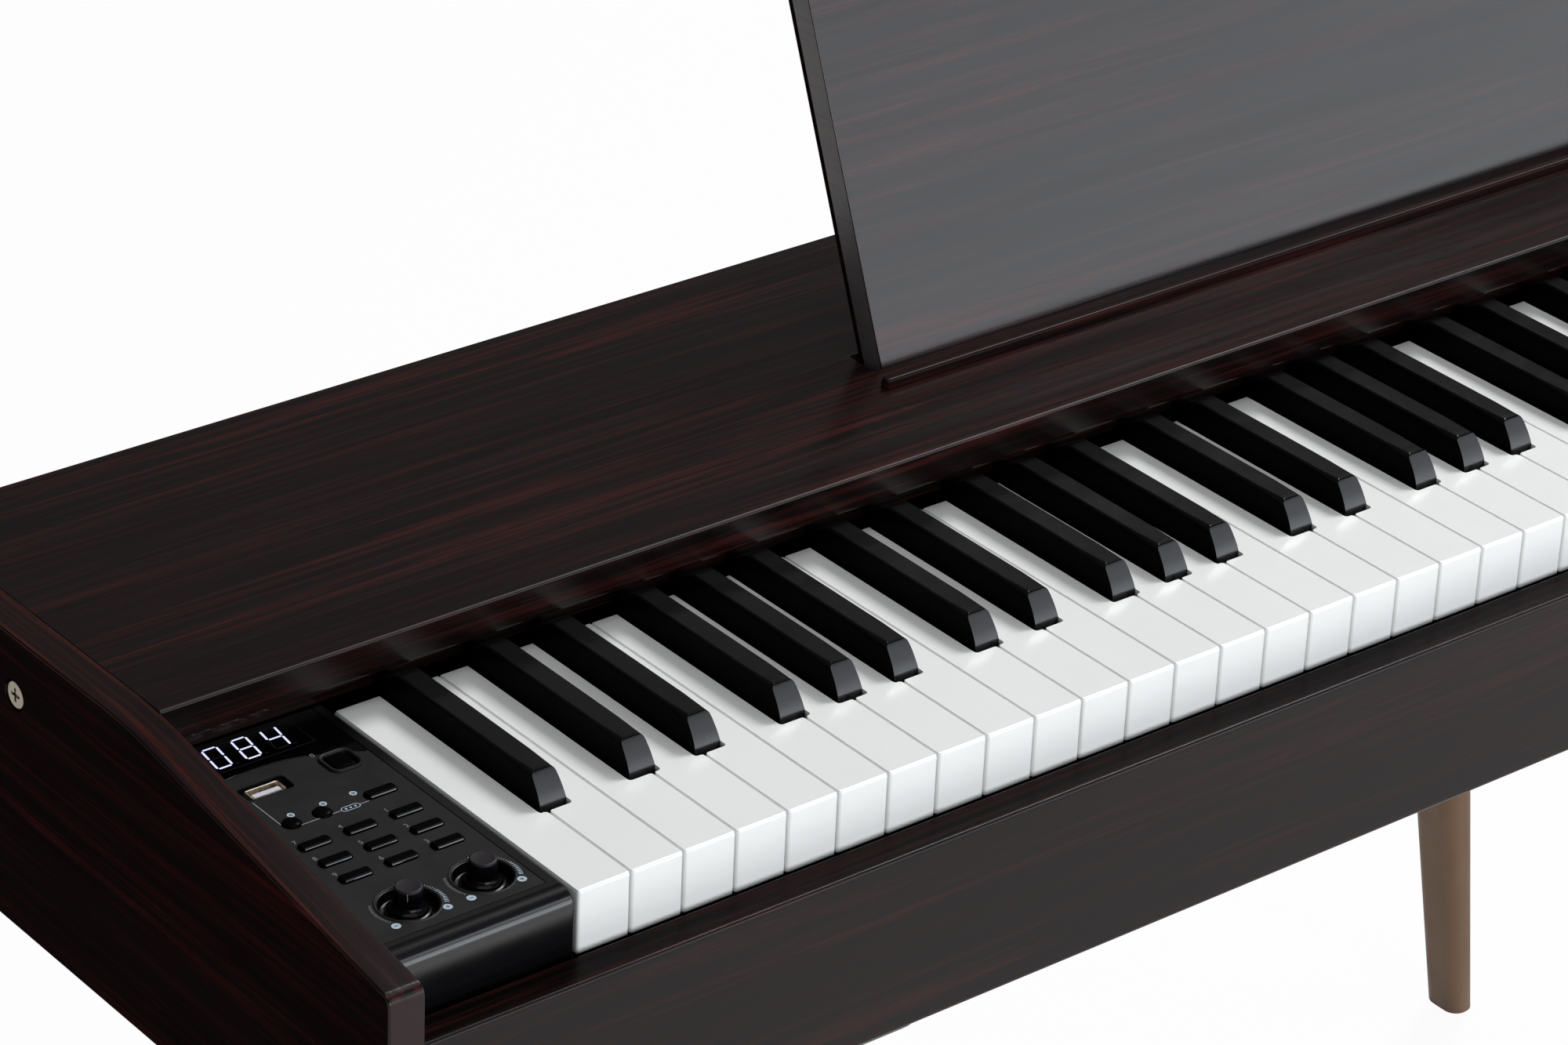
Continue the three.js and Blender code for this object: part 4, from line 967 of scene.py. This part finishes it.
POWER_RIM = (
    (7.1, -0.8), (7.1, 0.4), (6.98, 0.75), (6.7, 1), (6.2, 1), (5.85, 0.85), (5.6, 0.5),
    (5.5, 0), (5.5, -4.5), (6.3, -4.5), (6.3, -0.8),
)
DISH_RING = ((11.3, -0.05), (11.5, 0.3), (11.8, 0.4), (12.1, 0.3), (12.3, -0.05))
DISH_LINING = (
    (11.25, -0.2), (10.9, -0.3), (10.5, -2.3), (9.9, -3.5), (9.2, -3.8), (9.2, -4.05),
    (10.1, -4), (10.9, -3.2), (11.25, -2.1),
)
ROUND_CAP = (
    (3.7, -9), (3.7, -0.1), (3.64, 0.3), (3.42, 0.65), (3.05, 0.92), (2.5, 1.12), (1.8, 1.24),
    (1, 1.29), (0.3, 1.3),
)
KNOB_SKIRT = (
    (3, -10.5), (3, -3.5), (8.4, -3.5), (8.6, -3.3), (8.6, -2.8), (8.35, -2.45), (7.5, -2.3),
    (7.2, -2.05), (7.1, -1.4), (6.8, -1), (6, -0.7), (5.6, -0.1), (5.4, 0.7), (1, 0.8),
)
KNOB_GRIP = ((4.8, 0.1), (5.25, 0.2), (5.22, 1.5), (5.15, 4.5), (5.08, 6.5), (4.95, 7))
KNOB_TOP = (
    (4.6, 6.1), (5.08, 6.5), (5.1, 6.9), (5, 7.3), (4.75, 7.5), (4.2, 7.5), (3.8, 7.4), (1, 7.3),
)
FLUTES = 42
BUTTON_BOTTOM, BUTTON_TOP = [corner[2] for corner in box("menu_button")]
POWER_TOP = box("power_button")[1][2]
POINTER = radians(232)


def turned_at(profile, x, y, count, z=PANEL_TOP, **settings):
    """A turned shape whose profile has its heights counted from z."""
    return turned([(radius, z + height) for radius, height in profile], x, y, count, **settings)


def button(name, cap, faced=()):
    body = f"{name}_button"
    piece(f"{body}_cap", cap, button_black, [body], body=body, faced=faced)


rim_rings = [
    ring_at(around(*POWER, half, half, max(1.2, half - 3), 8), PANEL_TOP + height)
    for half, height in POWER_RIM
]
piece("power_rim", loft(rim_rings, closed=True), plate)
for name, (x, y) in KNOB_AT.items():
    ring = turned_at(DISH_RING, x, y, 96, closed=True)
    piece(f"{name}_dish_ring", ring, plate)
    lining = turned_at(DISH_LINING, x, y, 96, closed=True)
    piece(f"{name}_dish_lining", lining, dish_black)

for name in BARS:
    outline = around(*BUTTON_AT[name], *BAR_CAP)
    cap = slab(outline, BUTTON_BOTTOM, BUTTON_TOP, 0, BAR_CAP_EDGE, 6)
    # The cap's front edge takes the paler, glossier plastic: a painted highlight line.
    button(name, cap, (((0, -0.8, 0.6), button_edge_painted_highlight, 0.94),))
for name in ROUNDS:
    button(name, turned_at(ROUND_CAP, *BUTTON_AT[name], 56))
button("power", slab(around(*POWER, 4.5, 4.5, 1.8), BUTTON_BOTTOM, POWER_TOP, 0, 0.9, 5))

# Knobs: a fluted grip with a matt top, on a glossy stepped skirt
for name, (x, y) in KNOB_AT.items():
    body = f"{name}_knob"
    skirt = turned_at(KNOB_SKIRT, x, y, 80)
    piece(f"{name}_knob_skirt", skirt, knob_gloss, [body], body=body)
    grip = turned_at(
        KNOB_GRIP, x, y, 6 * FLUTES, flutes=FLUTES, flute_depth=0.34, fluted=(1, 2, 3, 4)
    )
    piece(f"{name}_knob_grip", grip, knob_gloss, body=body, angle=60)
    top = turned_at(KNOB_TOP, x, y, 80)
    piece(f"{name}_knob_top", top, knob_top, body=body)

# The volume knob's pointer, a light line down its side
out = Vector((cos(POINTER), sin(POINTER), 0))
pointer_outline = rounded(4.7, 5.32, -0.15, 0.15, 0.1, 1)
pointer = slab(pointer_outline, PANEL_TOP + 4.1, PANEL_TOP + 6.9, 0, 0.03, 1)
pointer_place = frame_at((*KNOB_AT["volume"], 0), out, (-out.y, out.x, 0), UP)
piece(
    "volume_knob_pointer", placed(pointer, pointer_place), mark_dim,
    body="volume_knob",
)

# USB socket: half width, half depth, corner radius and height from the panel's top
USB_SHELL = (
    (7.25, 3.5, 0.9, -11.2), (7.25, 3.5, 0.9, -1.1), (7.1, 3.35, 0.8, -0.8),
    (6.75, 3, 0.55, -0.8), (6.6, 2.85, 0.45, -1.05), (6.6, 2.85, 0.45, -9.5),
)
CONTACTS = (-3.5, -1.2, 1.2, 3.5)
usb_x, usb_y = USB
shell_rings = [
    ring_at(around(*USB, half_x, half_y, radius, 5), PANEL_TOP + height)
    for half_x, half_y, radius, height in USB_SHELL
]
piece("usb_shell", loft(shell_rings), pale_brass, ["usb_socket"])
tongue_outline = rounded(usb_x - 5.8, usb_x + 5.8, usb_y - 2, usb_y + 0.5, 0.3, 3)
tongue = slab(tongue_outline, PANEL_TOP - 9.5, PANEL_TOP - 1.2, 0, 0.3)
piece("usb_tongue", tongue, tongue_pale)
contacts = [
    slab(around(usb_x + x, usb_y + 0.55, 0.5, 0.1, 0.05, 1), PANEL_TOP - 8.5, PANEL_TOP - 1.9)
    for x in CONTACTS
]
piece("usb_contacts", joined(*contacts), pale_brass)


# Ink: thin coats on the panel

INK_LOW, INK_TOP = PANEL_TOP - 0.01, PANEL_TOP + 0.02


def stroke(a, b, half, low=INK_LOW, top=INK_TOP, pointed=0):
    """A thin bar from a to b, with pointed or square ends."""
    a, b = Vector(a), Vector(b)
    way = (b - a).normalized()
    over = Vector((-way.y, way.x)) * half
    points = [a - way * pointed, a - over, b - over, b + way * pointed, b + over, a + over]
    if not pointed:
        points = [a - over, b - over, b + over, a + over]
    return slab([tuple(p) for p in points], low, top)


def dot(x, y, radius, count=16):
    return slab(circle(x, y, radius, count), INK_LOW, INK_TOP)


def band(outline, width=0.3):
    """A line of ink along the inside of an outline."""
    rows = ((0, INK_LOW), (0, INK_TOP), (width, INK_TOP), (width, INK_LOW))
    return loft([ring_at(outline, z, amount) for amount, z in rows], closed=True)


# Display: slanted seven-segment digits, each with the place of a point after it

SEGMENTS = {
    "a": ((0, 2), (1, 2)), "b": ((1, 2), (1, 1)), "c": ((1, 1), (1, 0)), "d": ((0, 0), (1, 0)),
    "e": ((0, 1), (0, 0)), "f": ((0, 2), (0, 1)), "g": ((0, 1), (1, 1)),
}
SHOWN = {"0": "abcdef", "8": "abcdefg", "4": "bcfg"}
DIGIT_WIDTH, DIGIT_HEIGHT, SLANT, DIGIT_STEP = 6.2, 13.9, 0.126, 12.57
DIGITS_LEFT, DIGITS_LOW = -669, -13.35
SEGMENT_HALF, SEGMENT_POINT, SEGMENT_GAP = 0.44, 0.45, 0.75


def digit_strokes(x, y, names):
    shapes = []
    for name in names:
        ends = []
        for u, v in SEGMENTS[name]:
            height = v * DIGIT_HEIGHT / 2
            ends.append(Vector((x + u * DIGIT_WIDTH + height * SLANT, y + height)))
        way = (ends[1] - ends[0]).normalized() * SEGMENT_GAP
        shapes.append(stroke(ends[0] + way, ends[1] - way, SEGMENT_HALF, pointed=SEGMENT_POINT))
    return joined(*shapes)


lit_shapes, dark_shapes = [], []
for number, character in enumerate("084"):
    left = DIGITS_LEFT + DIGIT_STEP * number
    names = SHOWN[character]
    lit_shapes.append(digit_strokes(left, DIGITS_LOW, names))
    others = [name for name in SEGMENTS if name not in names]
    if others:
        dark_shapes.append(digit_strokes(left, DIGITS_LOW, others))
    dark_shapes.append(dot(left + 8.2, DIGITS_LOW - 0.1, 0.6))
piece("display_lit", joined(*lit_shapes), lit)
piece("display_unlit", joined(*dark_shapes), unlit)
display_outline = around(-650.2, -7.5, 21.4, 8.8, 0.8, 4)
piece("display_edge", band(display_outline), unlit)


# Printed marks on the plate

NUMERAL_SIZE, NUMERAL_LIFT = 3.4, 0.008
LINE_HALF = 0.2
NUMBERED = ("menu", "song", "response", "layer", "style", "transpose", "split", "tone", "start")
pale, line, dim, dark = [], [], [], []


def at(from_right, from_front):
    """A place on the panel, from the block's right face and the front of the keys."""
    return BLOCK_RIGHT - from_right, KEYS_FRONT + from_front


def tick(x, y, degrees, inner, outer, half):
    """A short line that points to a knob's middle."""
    a = radians(degrees)
    middle, way = Vector((x, y)), Vector((cos(a), sin(a)))
    return stroke(middle + way * inner, middle + way * outer, half)


def mark_ring(x, y, outer, inner, count=28):
    rows = [(outer, INK_LOW), (outer, INK_TOP), (inner, INK_TOP), (inner, INK_LOW)]
    return turned(rows, x, y, count, closed=True)


def knob_marks(x, y):
    """Even ticks on a knob's left, growing ones on its right, a dot, and minus and plus."""
    for i in range(15):
        dim.append(tick(x, y, 153 + 3.9 * i, 12.95, 14, 0.13))
    for i in range(16):
        share = i / 15
        ink = pale if share > 0.45 else line
        ink.append(tick(x, y, 38 - 4.4 * i, 12.7, 13.4 + share, 0.12 + 0.08 * share))
    pale.append(dot(x + 3, y + 12.6, 0.35))
    minus = [((-0.8, 0), (0.8, 0))]
    plus = minus + [((0, -0.8), (0, -0.2)), ((0, 0.2), (0, 0.8))]
    for dx, strokes in ((10.2, plus), (-11.5, minus)):
        cx, cy = x + dx, y - 9.4
        pale.append(dot(cx, cy, 1.75, 36))
        for (ax, ay), (bx, by) in strokes:
            ends = (cx + ax, cy + ay), (cx + bx, cy + by)
            dark.append(stroke(*ends, LINE_HALF, INK_TOP, INK_TOP + 0.01))


def numeral(text, x, y, size):
    """A plain numeral as a thin solid, with its lower left corner at x, y."""
    words = bpy.data.curves.new("numeral", "FONT")
    words.body = text
    words.size = size * MM
    words.extrude = 0.012 * MM
    obj = link("numeral", words)
    mesh = evaluated_mesh(obj)
    bpy.data.objects.remove(obj)
    work = bmesh.new()
    work.from_mesh(mesh)
    bmesh.ops.remove_doubles(work, verts=work.verts, dist=0.0005 * MM)
    work.to_mesh(mesh)
    work.free()
    return shape_of(mesh, (x, y, PANEL_TOP + NUMERAL_LIFT))


for x, y in KNOB_AT.values():
    knob_marks(x, y)
for start, end in (
    ((59.6, 113.2), (59.6, 95.2)), ((53.6, 91), (45.6, 91)),
    ((40.4, 91), (36.6, 91)), ((28.4, 91), (24.6, 91)),
):
    line.append(stroke(at(*start), at(*end), LINE_HALF))
lozenge_x, lozenge_y = at(32.5, 91)
pale.append(band(around(lozenge_x, lozenge_y, 4, 1.5, 1.5, 8)))
for dx in (-2, 0, 2):
    square = around(lozenge_x + dx, lozenge_y, 0.45, 0.45, 0.15, 2)
    pale.append(slab(square, INK_LOW, INK_TOP))
for place in ((53, 98.7), (39.3, 98.6), (26.4, 98.5)):
    pale.append(mark_ring(*at(*place), 1.45, 0.7))
    pale.append(dot(*at(*place), 0.3, 12))
for number, name in enumerate(NUMBERED, 1):
    x, y = BUTTON_AT[name]
    dim.append(numeral(str(number), x - 6.2, y + 3.7, NUMERAL_SIZE))
dim.append(numeral("0", POWER[0] - 7.2, POWER[1] + 7.9, NUMERAL_SIZE))
for name, shapes, ink in (
    ("marks_pale", pale, mark_pale),
    ("marks_line", line, mark_line),
    ("marks_dim", dim, mark_dim),
    ("marks_dark", dark, mark_dark),
):
    piece(name, joined(*shapes), ink)


# Speakers that face down, behind barred grilles, and the sockets in the back.
# Profiles: distances from the middle, with heights from the speaker's mouth or the case's bottom
CONE = (
    (0.8, 8.6), (3, 8.8), (5.5, 9.9), (7.4, 11.6), (8, 12.6), (21.5, 2.4), (22.2, 1.6),
    (23, 0.7), (24.2, 0.3), (25.4, 0.6), (26.2, 1.4), (27, 0), (33, 0), (33, 3), (27, 3),
    (16, 23), (16, 35), (0.8, 35),
)
GRILLE_RING = ((22.6, 1), (23, 0.6), (25.9, 0.6), (25.9, 3.5), (22.6, 3.5))
BAR_PITCH, BAR_HALF, BAR_CIRCLE = 5.6, 0.9, 23.4
COLLAR = ((3.3, 0), (3.3, 0.7), (3.7, 1), (4.9, 1), (5.3, 0.6), (5.3, 0))

for _, name in SIDES:
    x, y, _ = middle_of(f"{name}_speaker")
    mouth = box(f"{name}_speaker")[0][2]
    piece(
        f"{name}_speaker_cone", turned_at(CONE, x, y, 72, mouth),
        cone_paper, [f"{name}_speaker"],
    )
    bars = [turned_at(GRILLE_RING, x, y, 72, CASE_BOTTOM, closed=True)]
    for i in range(-3, 4):
        across = i * BAR_PITCH
        reach = sqrt(BAR_CIRCLE ** 2 - across ** 2)
        bar_outline = around(x + across, y, BAR_HALF, reach, 0.4, 2)
        bars.append(slab(bar_outline, CASE_BOTTOM + 1, CASE_BOTTOM + 2.8, 0.4, 0.2, 2))
    piece(f"{name}_speaker_grille", joined(*bars), socket_black)
    cloth = slab(circle(x, y, 25.7, 64), CASE_BOTTOM + 3.4, CASE_BOTTOM + 3.9)
    piece(f"{name}_speaker_cloth", cloth, grille_cloth)
for node in ("power_inlet", "headphone_socket"):
    piece(f"{node}_body", node_mesh(node), socket_black, [node], edge=0.35)
x, _, z = middle_of("headphone_socket")
socket_face = box("headphone_socket")[1][1]
collar_place = Matrix.Translation((x, socket_face - 0.1, z)) @ backwards
collar = placed(turned(COLLAR, 0, 0, 48, closed=True), collar_place)
piece("headphone_collar", collar, nickel)


# Stage: a pale floor and a low round backdrop, white to the camera, and soft lamps

STAGE_RADIUS, STAGE_LOW, FLOOR_TOP = 12000, -4, -0.5
WALL_OUTSIDE, WALL_TOP = 12040, 2200


def stage_material(name, whiteness):
    """White to the camera and in mirror images, and plain grey to all other light."""
    made = bpy.data.materials.new(name)
    made.use_nodes = True
    tree = made.node_tree
    tree.nodes.clear()
    path = add_node(tree, "LightPath").outputs
    rays = path["Is Camera Ray"]
    for ray in ("Is Glossy Ray", "Is Transmission Ray"):
        inputs = {0: rays, 1: path[ray]}
        total = add_node(tree, "Math", inputs, operation="ADD", use_clamp=True)
        rays = total.outputs[0]
    share = add_node(tree, "Math", {0: rays, 1: whiteness}, operation="MULTIPLY")
    plain = add_node(tree, "BsdfDiffuse", {"Color": (0.82, 0.82, 0.82, 1)})
    white = add_node(tree, "Emission", {"Strength": 1})
    inputs = {0: share.outputs[0], 1: plain.outputs[0], 2: white.outputs[0]}
    mixed = add_node(tree, "MixShader", inputs)
    add_node(tree, "OutputMaterial", {"Surface": mixed.outputs[0]})
    return made


def stage_piece(name, shape, material):
    made = link(name, mesh_of(name, shape))
    made.data.materials.append(material)


def softbox(name, place, target, width, height, watts, colour=(1, 1, 1)):
    data = bpy.data.lights.new(name, "AREA")
    data.shape = "RECTANGLE"
    data.size, data.size_y = width, height
    data.energy = watts
    data.color = colour
    made = link(name, data)
    made.location = place
    made.rotation_mode = "QUATERNION"
    made.rotation_quaternion = (Vector(target) - Vector(place)).to_track_quat("-Z", "Y")
    made.visible_camera = False


stage_floor = slab(circle(0, 0, STAGE_RADIUS, 96), STAGE_LOW, FLOOR_TOP)
stage_piece("floor", stage_floor, stage_material("floor_white", 0.95))
wall = [
    (STAGE_RADIUS, STAGE_LOW), (STAGE_RADIUS, WALL_TOP),
    (WALL_OUTSIDE, WALL_TOP), (WALL_OUTSIDE, STAGE_LOW),
]
stage_piece("backdrop", turned(wall, 0, 0, 96, closed=True), stage_material("backdrop_white", 1))

world = bpy.data.worlds.new("studio")
scene.world = world
world.use_nodes = True
background = world.node_tree.nodes["Background"]
background.inputs["Color"].default_value = (0.96, 0.98, 1, 1)
background.inputs["Strength"].default_value = 0.05

softbox("main", (2.5, 1.1, 4.1), (-0.1, -0.1, 0.65), 1.4, 1.4, 152)
softbox("overhead", (-0.5, -0.6, 3.1), (-0.1, -0.05, 0.65), 2.0, 1.8, 18)
softbox("low_front", (2.4, -3.3, 1.35), (0, -0.1, 0.7), 3.8, 1.6, 62, (0.88, 0.945, 1))
softbox("high_front", (2.7, -3.3, 3.4), (0, -0.1, 0.7), 2.8, 1.3, 22, (0.9, 0.95, 1))
softbox("front_fill", (-0.6, -4.0, 1.5), (-0.1, -0.1, 0.65), 2.4, 1.6, 84, (0.97, 0.985, 1))
softbox("behind", (1.9, 2.1, 2.15), (0.1, 0, 0.65), 3.6, 2.4, 2.3)

camera_data = bpy.data.cameras.new("camera")
camera_data.lens = 119.8
camera_data.sensor_width = 36
camera_data.clip_start, camera_data.clip_end = 0.05, 60
camera = link("camera", camera_data)
camera.matrix_world = frame_at(
    (-1.5448, -1.3795, 1.6279),
    (0.7823925, -0.62142146, 0.04119888),
    (0.266304, 0.39361905, 0.87985579),
    (-0.56297794, -0.67742114, 0.47345162),
)
scene.camera = camera
scene.view_settings.view_transform = "Standard"
